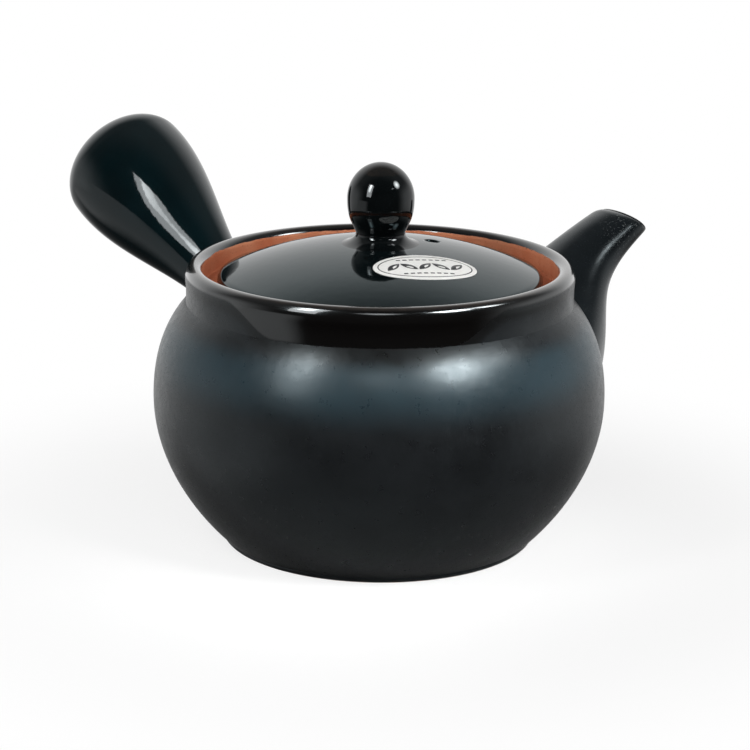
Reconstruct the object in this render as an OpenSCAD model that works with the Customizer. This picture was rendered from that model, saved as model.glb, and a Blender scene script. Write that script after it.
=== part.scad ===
// Side-handled teapot in dark glazed stoneware, with a wrap-round wire strainer inside.
// Millimetres. The origin is the middle of the foot on the table, +Z is up and +X points to the spout.

/* [Pot] */
// Diameter of the belly at its widest
belly_d = 120; // [110:1:130]
// Height of the belly's widest girth
belly_z = 39; // [36:0.5:42]
// How far below the girth the lower curve is pulled straight down
belly_pull = 22; // [18:0.5:26]
// Diameter of the foot, over its rounded edge
foot_d = 84; // [78:1:90]
// Radius of the foot's rounded edge
foot_edge = 1.6; // [1:0.1:2.4]
// Width of the ring that stands on the table
foot_ring_w = 5; // [3:0.5:8]
// Depth of the hollow inside the foot ring
foot_recess = 1.8; // [1:0.1:3]
// Thickness of the pot's floor
floor_t = 5; // [4:0.5:7]
// Thickness of the pot's wall at the belly
wall = 4.2; // [3.4:0.1:5]
// Height of the corner between shoulder and neck
neck_z = 63.5; // [61:0.5:66]
// Thickness of the neck's wall
neck_wall = 4.6; // [4:0.1:5.4]
// Height of the lip
rim_z = 75; // [72:0.5:79]
// How far above the girth the shoulder stays upright
shoulder_rise = 7; // [4:0.5:10]
// How far below the neck's corner the shoulder turns in
shoulder_drop = 7.5; // [5:0.5:10]

/* [Lid seat] */
// Depth of the ledge below the lip
seat_depth = 6.5; // [5:0.5:8]
// Thickness of the ledge at its inner edge
ledge_t = 4; // [3:0.5:6]
// Width of the ledge that bears the lid's edge
bearing_w = 3.7; // [2.5:0.1:6]

/* [Lid] */
// Diameter of the lid
lid_d = 87.4; // [80:0.2:94]
// Thickness of the lid's edge
lid_edge_t = 4.5; // [3.5:0.1:6]
// Rise of the dome above the edge
lid_rise = 7.8; // [5:0.2:11]
// Thickness of the dome
lid_t = 4.5; // [3.5:0.1:6]
// Radius of the lid's upper edge
lid_edge_round = 1.4; // [0.6:0.1:2]
// Depth of the locating flange below the seat
flange_depth = 7; // [4:0.5:10]
// Thickness of the locating flange
flange_t = 3; // [2:0.2:4]
// Diameter of the steam vent
vent_d = 3.6; // [2:0.2:5]
// Distance of the steam vent from the lid's axis
vent_out = 14.7; // [12:0.1:18]
// Bearing of the steam vent
vent_bearing = -15.7; // [-180:0.1:180]

/* [Knob] */
// Diameter of the knob's ball
knob_d = 17.6; // [15:0.2:21]
// Height of the knob above the lid's crown
knob_h = 20.5; // [17:0.5:24]
// Height of the ball's widest girth above the lid's crown
knob_girth_z = 11; // [9:0.5:13]
// Diameter of the stem
stem_d = 12.8; // [11:0.2:14.4]
// Diameter of the stem's spread foot
knob_foot_d = 17.6; // [15.6:0.2:20]

/* [Label] */
// Length of the oval label
label_l = 27.4; // [22:0.2:30]
// Width of the oval label
label_w = 16.6; // [12:0.2:20]
// Thickness of the label
label_t = 0.15; // [0.1:0.01:0.3]
// Distance of the label's middle from the lid's edge
label_in = 18.4; // [15.5:0.1:21.5]
// Bearing of the label's middle
label_bearing = -100.5; // [-180:0.1:180]
// Bearing of the label's long axis
label_turn = -28; // [-180:1:180]

/* [Spout] */
// Reach of the pouring lip beyond the belly
lip_reach = 30; // [24:0.5:38]
// Drop of the pouring lip below the pot's lip
lip_drop = 2.5; // [0:0.5:6]
// Reach of the mouth's back edge beyond the belly
crest_reach = 21; // [17:0.5:24]
// Rise of the mouth's back edge above the pot's lip
crest_rise = 4.5; // [2:0.5:7]
// Reach of the crest's bend beyond the belly
crest_bend = 6; // [3:0.5:10]
// Reach of the keel's swell beyond the belly
keel_swell = 19.5; // [15:0.5:24]
// Height of the keel's swell above the belly's girth
keel_swell_rise = 4.5; // [1:0.5:8]
// How far the keel tucks back inside the belly's reach, under the lip
keel_tuck = 1.5; // [0:0.5:4]
// Height of the keel's tuck above the belly's girth
keel_tuck_rise = 13.5; // [10:0.5:17]
// Width of the mouth
spout_mouth_w = 17.8; // [15:0.2:20]
// Width that draws the throat in behind the mouth
spout_throat_w = 20; // [17:0.5:24]
// Width that draws the shank in above the root
spout_shank_w = 26; // [22:0.5:32]
// Width of the spread root
spout_root_w = 52; // [46:0.5:56]
// Height of the spread root
spout_root_h = 37; // [32:0.5:40]
// Thickness of the spout's wall at the root
spout_wall = 3.2; // [2.6:0.1:4]
// Thickness of the pouring lip
spout_lip_t = 2; // [1.6:0.1:2.6]
// Diameter of the port through the pot's wall
port_d = 16; // [12:0.5:18]
// Height of the port above the belly's girth
port_rise = 5; // [2:0.5:7]

/* [Handle] */
// Bearing of the handle, counted from the spout
handle_bearing = 98; // [80:1:110]
// Tilt of the handle above level
handle_tilt = 32.2; // [28:0.2:36]
// Height at which the handle's axis crosses the pot's axis
handle_axis_z = 19.2; // [16:0.2:22]
// Length from the buried root to the widest girth
handle_len = 64.8; // [58:0.2:76]
// Length of the domed end past the widest girth
handle_cap = 11.8; // [9:0.2:15]
// Diameter of the handle at its widest
handle_d = 37; // [32:0.2:40]
// Diameter of the handle at its root
handle_root_d = 17.4; // [16:0.2:20]
// Thickness of the handle's wall
handle_wall = 3.5; // [2.8:0.1:4]
// Diameter of the hole in the handle's end
handle_hole_d = 12; // [9:0.5:15]

/* [Strainer] */
// Height of the strainer band over its hems
strainer_h = 31; // [26:0.5:34]
// Thickness of the woven wire
mesh_t = 0.5; // [0.4:0.05:0.8]
// Height of a folded hem
hem_h = 2.6; // [2:0.1:4]
// Thickness of a folded hem
hem_w = 1.7; // [1.5:0.1:2.4]
// Width of the seam strip
strip_w = 8; // [6:0.5:12]
// Thickness of the seam strip
strip_t = 0.4; // [0.3:0.05:0.6]

/* [Fits] */
// Room between a luted piece and what it is luted to
slip_gap = 0.1; // [0.05:0.01:0.2]
// Room between the lid's edge and the neck, all round
lid_clear = 2.9; // [2:0.1:4]
// Room between the lid's flange and the mouth, all round
flange_clear = 1; // [0.5:0.1:2]
// Room between the strainer and the pot's wall
strainer_clear = 0.3; // [0.2:0.05:0.6]
// Room between the strainer's own pieces
strainer_fit = 0.05; // [0.03:0.01:0.1]
// Thickness of the glue under the label
glue_t = 0.05; // [0.03:0.01:0.1]

/* [Hidden] */

$fn = 96;
glaze = "#18212a";
gloss = "#0b0d10";
steel = "#b9bcbf";
paper = "#f2f1ec";

// Points along one curve, along the lid's shallow dome and along a round edge
curve_n = 8;
dome_n = 5;
edge_n = 4;
// Length by which a cut runs past the face it opens
past = 1;

belly_r = belly_d / 2;
inner_r = belly_r - wall;
lid_r = lid_d / 2;
mouth_r = lid_r - bearing_w;
throat_r = lid_r + lid_clear;
neck_r = throat_r + neck_wall;
foot_r = foot_d / 2;
floor_z = foot_recess + floor_t;
seat_z = rim_z - seat_depth;
lip_r = neck_wall / 2;

function bezier(p, t) =
    len(p) == 1 ? p[0] : bezier([for (i = [0:len(p) - 2]) p[i] * (1 - t) + p[i + 1] * t], t);
function curve(p, n = curve_n) = [for (i = [0:n]) bezier(p, i / n)];
function arc(c, r, from, to, n = edge_n) =
    [for (i = [0:n]) let (a = from + (to - from) * i / n) c + r * [cos(a), sin(a)]];
function reversed(v) = [for (i = [len(v) - 1:-1:0]) v[i]];
function grown(line, gap) = [for (p = line) [p.x + gap, p.y]];
function raised(line, gap) = [for (p = line) [p.x, p.y + gap]];

// Outer line of the pot, from the foot up to the lip
foot_corner = [foot_r - foot_edge, foot_edge];
low_start = [foot_r, foot_edge];
low_pull = [belly_r, belly_z - belly_pull];
girth = [belly_r, belly_z];
shoulder_pull = [belly_r, belly_z + shoulder_rise];
shoulder_turn = [belly_r - lip_r / 2, neck_z - shoulder_drop];
neck_corner = [neck_r, neck_z];
pot_line = concat(
    arc(foot_corner, foot_edge, -90, 0),
    curve([low_start, low_start, low_pull, girth]),
    curve([girth, shoulder_pull, shoulder_turn, neck_corner]),
    arc([neck_r - lip_r, rim_z - lip_r], lip_r, 0, 180, curve_n));

// Inner line of the pot, from the ledge down to the middle of the floor
ledge_under = [mouth_r, seat_z - ledge_t];
inner_girth = [inner_r, belly_z];
inner_turn = [inner_r - wall / 2, neck_z - shoulder_drop / 2];
floor_edge = [foot_r - 2 * wall, floor_z];
floor_pull = [foot_r + wall / 2, floor_z];
inner_pull = [inner_r, belly_z + shoulder_rise];
inner_high = curve([ledge_under, inner_turn, inner_pull, inner_girth]);
inner_low = curve([inner_girth, [inner_r, belly_z - belly_pull + wall], floor_pull, floor_edge]);
inner_line = concat(inner_high, inner_low, [[0, floor_z]]);

// Radius of the inner wall at a height between the floor and the ledge
inner_heights = [for (p = reversed(concat(inner_high, inner_low))) [p.y, p.x]];
function inner_at(z) = lookup(z, inner_heights);

// Solid that the pot's outer surface bounds, grown by a gap
module pot_envelope(gap) {
    rotate_extrude()
        polygon(concat([[0, 0]], grown(pot_line, gap), [[0, rim_z]]));
}

port_z = belly_z + port_rise;

module pot_body() {
    ring_r = foot_r - foot_edge - foot_ring_w;
    color(glaze)
        difference() {
            rotate_extrude()
                polygon(concat(
                    [[ring_r, 0]],
                    pot_line,
                    [[throat_r, seat_z], [mouth_r, seat_z]],
                    inner_line,
                    [[0, foot_recess], [ring_r, foot_recess]]));
            translate([inner_r - 2 * wall, 0, port_z])
                rotate([0, 90, 0])
                    cylinder(d = port_d, h = 4 * wall);
        }
}

// The spout is a loft between a crest line and a keel line in the plane y = 0
spout_sides = 40;
spout_steps = 24;
// Depth to which the loft is buried before the pot cuts it
root_depth = 12;
// Share of the root's width that is left where the loft is buried
root_taper = 0.9;
// Height by which the rounded lip stands above its two edges
lip_crown = 0.8;
crest_start = [neck_r + slip_gap + lip_r / 2, neck_z - lip_r / 4];
crest_line = [
    crest_start,
    [belly_r + crest_bend, rim_z],
    [belly_r + crest_reach, rim_z + crest_rise]];
keel_line = [
    [belly_r - wall / 2, crest_start.y - spout_root_h],
    [belly_r + keel_swell, belly_z + keel_swell_rise],
    [belly_r - keel_tuck, belly_z + keel_tuck_rise],
    [belly_r + lip_reach, rim_z - lip_drop]];
// Half widths from the root to the mouth
width_line = [spout_root_w, spout_shank_w, spout_throat_w, spout_mouth_w] / 2;

// Oval ring of the loft at t from 0 to 1, drawn in by an inset
function spout_ring(t, inset) =
    let (c = bezier(crest_line, t), k = bezier(keel_line, t), half = (c - k) / 2, middle = (c + k) / 2)
    let (h = half * (1 - inset / norm(half)), w = bezier(width_line, t) - inset)
    [for (i = [0:spout_sides - 1])
        let (a = 360 * i / spout_sides)
        [middle.x + h.x * cos(a), w * sin(a), middle.y + h.y * cos(a)]];

function buried(ring) = [for (p = ring) [p.x - root_depth, p.y * root_taper, p.z]];

// Direction in which the mouth faces
mouth_span = crest_line[2] - keel_line[3];
mouth_face = [mouth_span.y, 0, -mouth_span.x] / norm(mouth_span);

function spout_wall_at(t) = spout_wall * (1 - t) + spout_lip_t * t;

spout_rings = concat(
    [buried(spout_ring(0, 0))],
    [for (i = [0:spout_steps]) spout_ring(i / spout_steps, 0)],
    [[for (p = spout_ring(1, spout_lip_t / 2)) p + lip_crown * mouth_face]],
    [for (i = [spout_steps:-1:0]) let (t = i / spout_steps) spout_ring(t, spout_wall_at(t))],
    [buried(spout_ring(0, spout_wall))]);

// Closed skin over rings that run out along one side of a tube and back along the other
module tube_skin(rings) {
    n = len(rings);
    m = len(rings[0]);
    points = [for (ring = rings) each ring];
    faces = [for (i = [0:n - 1], j = [0:m - 1])
        let (a = i * m, b = (i + 1) % n * m, k = (j + 1) % m)
        each [[a + j, b + k, a + k], [a + j, b + j, b + k]]];
    polyhedron(points, faces);
}

module spout() {
    color(glaze)
        difference() {
            tube_skin(spout_rings);
            pot_envelope(slip_gap);
        }
}

// The handle is turned about its own axis, whose length is counted from the pot's axis
handle_root_depth = 2;
handle_start = belly_r - handle_root_depth;
handle_wide = handle_start + handle_len;
// Shares of the root's and the end's radius that pull the handle's side in to a waist and out to a flare
waist_share = 0.385;
flare_share = 1.06;
waist_pull = waist_share * handle_root_d / 2;
flare_pull = flare_share * handle_d / 2;

function handle_side(inset) =
    curve([
        [handle_root_d / 2 - inset, handle_start],
        [waist_pull - inset, handle_start + handle_len / 3],
        [flare_pull - inset, handle_start + handle_len * 2 / 3],
        [handle_d / 2 - inset, handle_wide]]);

function handle_dome(inset) =
    [for (i = [0:curve_n])
        let (a = 90 * i / curve_n)
        [(handle_d / 2 - inset) * cos(a), handle_wide + (handle_cap - inset) * sin(a)]];

module along_handle() {
    translate([0, 0, handle_axis_z])
        rotate([0, 0, handle_bearing])
            rotate([0, 90 - handle_tilt, 0])
                children();
}

module handle() {
    outside = concat(handle_side(0), handle_dome(0));
    hollow = concat(handle_side(handle_wall), handle_dome(handle_wall));
    color(gloss)
        difference() {
            along_handle()
                rotate_extrude()
                    polygon(concat(outside, reversed(hollow)));
            along_handle()
                translate([0, 0, handle_wide])
                    cylinder(d = handle_hole_d, h = handle_cap + past);
            pot_envelope(slip_gap);
        }
}

// Top line of the lid, from its crown out to where its rounded edge begins
lid_edge_z = seat_z + lid_edge_t;
crown_z = lid_edge_z + lid_rise;
dome_r = (lid_r * lid_r + lid_rise * lid_rise) / (2 * lid_rise);
edge_r = lid_r - lid_edge_round;
edge_turn = acos(edge_r / (dome_r - lid_edge_round));
flange_r = mouth_r - flange_clear;
function dome_z(r) = crown_z - dome_r + sqrt(dome_r * dome_r - r * r);
function dome_line(reach) =
    [for (i = [0:dome_n]) let (r = reach * i / dome_n) [r, dome_z(r)]];
lid_top = dome_line(dome_r * cos(edge_turn));

module lid() {
    edge_z = crown_z - dome_r + (dome_r - lid_edge_round) * sin(edge_turn);
    hollow_r = flange_r - flange_t;
    flange_end = seat_z - flange_depth;
    color(gloss)
        difference() {
            rotate_extrude()
                polygon(concat(
                    lid_top,
                    arc([edge_r, edge_z], lid_edge_round, edge_turn, 0),
                    [[lid_r, seat_z], [flange_r, seat_z], [flange_r, flange_end + flange_t / 4],
                     [flange_r - flange_t / 4, flange_end], [hollow_r, flange_end]],
                    reversed(raised(dome_line(hollow_r), -lid_t))));
            rotate([0, 0, vent_bearing])
                translate([vent_out, 0, seat_z])
                    cylinder(d = vent_d, h = crown_z - seat_z + past);
        }
}

module lid_knob() {
    ball_r = knob_d / 2;
    top = crown_z + knob_h;
    girth_z = crown_z + knob_girth_z;
    stem_z = crown_z + knob_girth_z / 5;
    foot = [knob_foot_d / 2, dome_z(knob_foot_d / 2)];
    spread = curve([foot, [stem_d / 2, foot.y + slip_gap], [stem_d / 2, stem_z]], edge_n);
    swell = girth_z - stem_z;
    bulb = curve([[stem_d / 2, stem_z], [stem_d / 2, stem_z + swell / 6],
                  [ball_r, girth_z - swell / 2], [ball_r, girth_z]]);
    cap = [for (i = [0:curve_n])
        let (a = 90 * i / curve_n) [ball_r * cos(a), girth_z + (top - girth_z) * sin(a)]];
    color(gloss)
        difference() {
            rotate_extrude()
                polygon(concat([[0, seat_z], [foot.x, seat_z]], spread, bulb, cap));
            rotate_extrude()
                polygon(concat([[0, seat_z - past], [lid_top[dome_n].x, seat_z - past]],
                               reversed(raised(lid_top, slip_gap))));
        }
}

module lid_label() {
    oval_n = 48;
    label_out = lid_r - label_in;
    sheet = raised(lid_top, glue_t);
    color(paper)
        intersection() {
            rotate_extrude()
                polygon(concat(sheet, reversed(raised(sheet, label_t))));
            rotate([0, 0, label_bearing])
                translate([label_out, 0, seat_z])
                    rotate([0, 0, label_turn - label_bearing])
                        linear_extrude(height = crown_z - seat_z + past)
                            polygon([for (i = [0:oval_n - 1])
                                let (a = 360 * i / oval_n)
                                [label_l / 2 * cos(a), label_w / 2 * sin(a)]]);
        }
}

// The strainer band stands upright at the belly, sprung out against the wall by its hems
strainer_low = belly_z - strainer_h / 2;
strainer_top = belly_z + strainer_h / 2;
hem_r = min(inner_at(strainer_low), inner_at(strainer_top)) - strainer_clear;
mesh_r = hem_r - (hem_w + mesh_t) / 2;
slot_depth = hem_h / 2;

module strainer_mesh() {
    lift = hem_h - slot_depth + strainer_fit;
    color(steel)
        rotate_extrude()
            translate([mesh_r, strainer_low + lift])
                square([mesh_t, strainer_h - 2 * lift]);
}

// Section of a hem that opens upwards, with its foot at height 0
module hem_section() {
    round_off = hem_w / 4;
    slot_in = mesh_r - strainer_fit;
    slot_out = mesh_r + mesh_t + strainer_fit;
    polygon([[hem_r - hem_w + round_off, 0], [hem_r - round_off, 0], [hem_r, round_off], [hem_r, hem_h],
             [slot_out, hem_h], [slot_out, hem_h - slot_depth], [slot_in, hem_h - slot_depth],
             [slot_in, hem_h], [hem_r - hem_w, hem_h], [hem_r - hem_w, round_off]]);
}

module strainer_top_hem() {
    color(steel)
        rotate_extrude()
            translate([0, strainer_top])
                mirror([0, 1])
                    hem_section();
}

module strainer_bottom_hem() {
    color(steel)
        rotate_extrude()
            translate([0, strainer_low])
                hem_section();
}

module strainer_seam_strip() {
    strip_r = mesh_r - strainer_fit - strip_t;
    angle = 2 * asin(strip_w / 2 / strip_r);
    rise = hem_h + strainer_fit;
    color(steel)
        rotate([0, 0, 180 - angle / 2])
            rotate_extrude(angle = angle)
                translate([strip_r, strainer_low + rise])
                    square([strip_t, strainer_h - 2 * rise]);
}

pot_body();
spout();
handle();
lid();
lid_knob();
lid_label();
strainer_mesh();
strainer_top_hem();
strainer_bottom_hem();
strainer_seam_strip();
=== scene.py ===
"""Visual model of a side-handled teapot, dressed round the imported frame.

Lengths in the classes are millimetres in the frame's own axes: the origin in the middle of the
foot, +Z up and +X towards the spout. Meshes are written in metres.
"""
import logging
import math
from dataclasses import dataclass, replace
from enum import Enum
from typing import Any, Callable, Sequence

import bmesh
import bpy
import numpy as np
from mathutils import Matrix, Vector


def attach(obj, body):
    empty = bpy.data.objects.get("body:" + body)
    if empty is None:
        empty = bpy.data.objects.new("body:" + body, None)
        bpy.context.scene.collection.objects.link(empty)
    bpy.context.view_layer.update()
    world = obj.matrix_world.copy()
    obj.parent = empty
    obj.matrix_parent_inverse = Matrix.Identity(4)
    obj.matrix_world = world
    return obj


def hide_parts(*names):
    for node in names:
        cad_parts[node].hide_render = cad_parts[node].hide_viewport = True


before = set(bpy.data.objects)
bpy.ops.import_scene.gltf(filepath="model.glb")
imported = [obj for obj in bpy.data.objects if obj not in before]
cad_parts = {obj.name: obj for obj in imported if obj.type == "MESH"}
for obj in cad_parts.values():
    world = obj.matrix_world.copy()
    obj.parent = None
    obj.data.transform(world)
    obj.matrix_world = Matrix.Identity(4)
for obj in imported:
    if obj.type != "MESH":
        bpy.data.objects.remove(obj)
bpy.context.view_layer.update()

RGB = tuple[float, float, float]
Pair = tuple[float, float]

MM = 0.001
SEGMENTS = 192  # steps round a turned piece
TUBE_LINES = 144  # lines along the spout and the handle
BAND = 1.4  # longest run of a turned line
CORNER = 0.45  # largest share of a run that a rounded corner takes
SHARP = math.radians(38)  # edges from this angle on stay sharp
SAME = 1e-6  # shortest run that counts, and smallest radius that isn't a pole
DOUBLE = 1e-7  # points nearer than this are merged, in metres
OUTSIDE = -5.0  # painted distance that lies well outside a mask
SEAM_STEPS = 8  # rings over a seam of slip
SEAM_SINK = 0.06  # depth of a seam's visible edge
FOOT_SINK = 0.8  # depth of its hidden edge in the pot's wall
BACK_SINK = 0.6  # depth at which a tube's hollow starts in the wall
VEC, FLT, INT, COL = "NodeSocketVector", "NodeSocketFloat", "NodeSocketInt", "NodeSocketColor"

log = logging.getLogger("teapot")


class Slot(Enum):
    """Material slots of the record."""

    BODY = "body_glaze"
    GLOSS = "gloss_glaze"
    PAPER = "label_paper"
    STEEL = "strainer_steel"


class Rider(Enum):
    """Bodies that the pieces move with."""

    POT = "pot"
    LID = "lid"


def full_turn(count: int) -> np.ndarray:
    """Evenly spaced angles of one turn."""
    return np.linspace(0.0, 2 * math.pi, count, endpoint=False)


def bezier_at(points: Sequence[Sequence[float]], t: Any) -> np.ndarray:
    """Point of a Bezier curve at a share of its way, or points at a column of shares."""
    levels = [np.array(p, float) for p in points]
    while len(levels) > 1:
        levels = [a * (1 - t) + b * t for a, b in zip(levels, levels[1:])]
    return levels[0]


def bezier(points: Sequence[Sequence[float]], count: int) -> np.ndarray:
    """Points along a Bezier curve.

    Args:
        points: Control points, of any number and dimension.
        count: Number of steps.

    Returns:
        Array of count + 1 points with both ends.
    """
    return bezier_at(points, np.linspace(0.0, 1.0, count + 1)[:, None])


def arc(centre: Pair, radius: float, start: float, end: float, count: int) -> np.ndarray:
    """Points of a circular arc.

    Args:
        centre: Middle of the circle.
        radius: Its radius.
        start: First angle in degrees.
        end: Last angle in degrees.
        count: Number of steps.

    Returns:
        Array of count + 1 points.
    """
    a = np.radians(np.linspace(start, end, count + 1))
    return np.stack([centre[0] + radius * np.cos(a), centre[1] + radius * np.sin(a)], axis=1)


def softened(points: Sequence[Pair], cut: float, steps: int = 5) -> np.ndarray:
    """Line of straight runs whose inner corners are rounded off.

    Args:
        points: Corners of the line.
        cut: Length taken from each side of a corner.
        steps: Steps of each rounded corner.

    Returns:
        Points of the rounded line.
    """
    corners = [np.array(p, float) for p in points]
    line = [corners[0][None, :]]
    for before, corner, after in zip(corners, corners[1:], corners[2:]):
        back, ahead = before - corner, after - corner
        near = min(cut, CORNER * np.linalg.norm(back))
        far = min(cut, CORNER * np.linalg.norm(ahead))
        start = corner + back / np.linalg.norm(back) * near
        end = corner + ahead / np.linalg.norm(ahead) * far
        line.append(bezier([start, corner, end], steps))
    line.append(corners[-1][None, :])
    return np.concatenate(line)


def dense(line: np.ndarray, step: float = BAND) -> np.ndarray:
    """Line with no run longer than a step, and no point twice.

    Args:
        line: Points of the line.
        step: Longest run that is left.

    Returns:
        Points of the finer line.
    """
    out = [line[0]]
    for a, b in zip(line, line[1:]):
        length = float(np.linalg.norm(b - a))
        if length > SAME:
            count = max(1, math.ceil(length / step))
            out.extend(a + (b - a) * k / count for k in range(1, count + 1))
    return np.array(out)


def resampled(line: np.ndarray, start: float, count: int) -> np.ndarray:
    """Evenly spaced points of a line from a length along it to its end.

    Args:
        line: Points of the line.
        start: Length from its beginning at which the result starts.
        count: Number of steps.

    Returns:
        Array of count + 1 points.
    """
    runs = np.linalg.norm(np.diff(line, axis=0), axis=1)
    along = np.concatenate([[0.0], np.cumsum(runs)])
    at = np.linspace(start, along[-1], count + 1)
    return np.stack([np.interp(at, along, line[:, k]) for k in range(line.shape[1])], axis=1)


def add_object(name: str, mesh: bpy.types.Mesh) -> bpy.types.Object:
    """Object at the origin that shows a mesh."""
    obj = bpy.data.objects.new(name, mesh)
    bpy.context.scene.collection.objects.link(obj)
    return obj


def settle(obj: bpy.types.Object) -> bpy.types.Object:
    """Merges doubles, points the faces outwards and shades them smooth up to the sharp edges.

    Args:
        obj: Mesh object to finish.

    Returns:
        The same object.
    """
    work = bmesh.new()
    work.from_mesh(obj.data)
    bmesh.ops.remove_doubles(work, verts=work.verts, dist=DOUBLE)
    bmesh.ops.recalc_face_normals(work, faces=work.faces)
    for face in work.faces:
        face.smooth = True
    for edge in work.edges:
        edge.smooth = len(edge.link_faces) != 2 or edge.calc_face_angle(0.0) < SHARP
    work.to_mesh(obj.data)
    work.free()
    obj.data.update()
    return obj


def skin(name: str, rings: Sequence[np.ndarray], loop: bool = False) -> bpy.types.Object:
    """Mesh drawn over rings of points; a ring of one point is a pole.

    Args:
        name: Name of the piece.
        rings: Rings in millimetres, one after the other.
        loop: Joins the last ring to the first one.

    Returns:
        The finished mesh object.
    """
    starts = np.cumsum([0] + [len(r) for r in rings])
    pairs = [(i, i + 1) for i in range(len(rings) - 1)] + ([(len(rings) - 1, 0)] if loop else [])
    faces: list[tuple[int, ...]] = []
    for i, j in pairs:
        a, b, m, n = starts[i], starts[j], len(rings[i]), len(rings[j])
        for k in range(max(m, n)):
            nxt = (k + 1) % max(m, n)
            if m == 1:
                faces.append((a, b + nxt, b + k))
            elif n == 1:
                faces.append((a + k, a + nxt, b))
            else:
                faces.append((a + k, a + nxt, b + nxt, b + k))
    mesh = bpy.data.meshes.new(name)
    mesh.from_pydata((np.concatenate(rings) * MM).tolist(), [], faces)
    return settle(add_object(name, mesh))


def turned(name: str, line: np.ndarray, loop: bool = False) -> bpy.types.Object:
    """Piece turned about the Z axis from a line of radius and height.

    Args:
        name: Name of the piece.
        line: Points of radius and height.
        loop: True for a closed section that stays clear of the axis.

    Returns:
        The finished mesh object.
    """
    angle = full_turn(SEGMENTS)
    rings = []
    for r, z in line:
        if r < SAME:
            rings.append(np.array([[0.0, 0.0, z]]))
        else:
            rings.append(np.stack([r * np.cos(angle), r * np.sin(angle), np.full_like(angle, z)], 1))
    return skin(name, rings, loop)


def plain_mesh(obj: bpy.types.Object) -> None:
    """Writes an object's modifiers into its mesh and takes them off."""
    made = obj.evaluated_get(bpy.context.evaluated_depsgraph_get())
    old, obj.data = obj.data, bpy.data.meshes.new_from_object(made)
    obj.modifiers.clear()
    bpy.data.meshes.remove(old)


def drill(obj: bpy.types.Object, line: np.ndarray, place: Matrix) -> None:
    """Cuts a turned tool out of a piece.

    Args:
        obj: Piece that is cut.
        line: Radius and height of the tool, from pole to pole.
        place: Turns and moves the tool, in millimetres.
    """
    tool = turned("tool", line)
    shift = place.copy()
    shift.translation *= MM
    tool.data.transform(shift)
    cut = obj.modifiers.new("cut", "BOOLEAN")
    cut.operation, cut.solver, cut.object = "DIFFERENCE", "EXACT", tool
    bpy.context.view_layer.update()
    plain_mesh(obj)
    bpy.data.objects.remove(tool)
    settle(obj)


def points_of(obj: bpy.types.Object) -> np.ndarray:
    """Vertices of a piece in millimetres."""
    flat = np.zeros(len(obj.data.vertices) * 3, np.float32)
    obj.data.vertices.foreach_get("co", flat)
    return flat.reshape(-1, 3).astype(float) / MM


def paint(obj: bpy.types.Object, name: str, values: np.ndarray) -> None:
    """Stores one number a vertex under a name that the finishes read."""
    layer = obj.data.attributes.new(name, "FLOAT", "POINT")
    layer.data.foreach_set("value", np.broadcast_to(values, len(obj.data.vertices)).astype(np.float32))


def coat(obj: bpy.types.Object, finish: bpy.types.Material, **painted: Any) -> None:
    """Gives a piece its glaze and paints where that is bare, where it pools, where it wears thin, and where a dark
    reflection, a blue sheen and pale glints are painted.

    Args:
        obj: The piece.
        finish: Its glaze.
        painted: Numbers by name; what isn't named stays plain glaze.
    """
    plain = {"bare": OUTSIDE, "gloss": OUTSIDE, "thin": OUTSIDE, "blue": 0.0}
    for name, values in {**plain, **painted}.items():
        paint(obj, name, np.asarray(values))
    obj.data.materials.append(finish)


def ease(values: np.ndarray, low: float, high: float) -> np.ndarray:
    """Smooth step from 0 at low to 1 at high."""
    t = np.clip((values - low) / (high - low), 0.0, 1.0)
    return t * t * (3 - 2 * t)


def place(obj: bpy.types.Object, rider: Rider, slot: Slot, *nodes: str) -> None:
    """Ties a finished piece to its body and hides the nodes that it stands for.

    Args:
        obj: The piece.
        rider: Body that it moves with.
        slot: Not used.
        nodes: Nodes that it stands for.
    """
    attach(obj, rider.value)
    if nodes:
        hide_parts(*nodes)
    log.info("%s: %d faces, rides on %s", obj.name, len(obj.data.polygons), rider.value)


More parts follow.
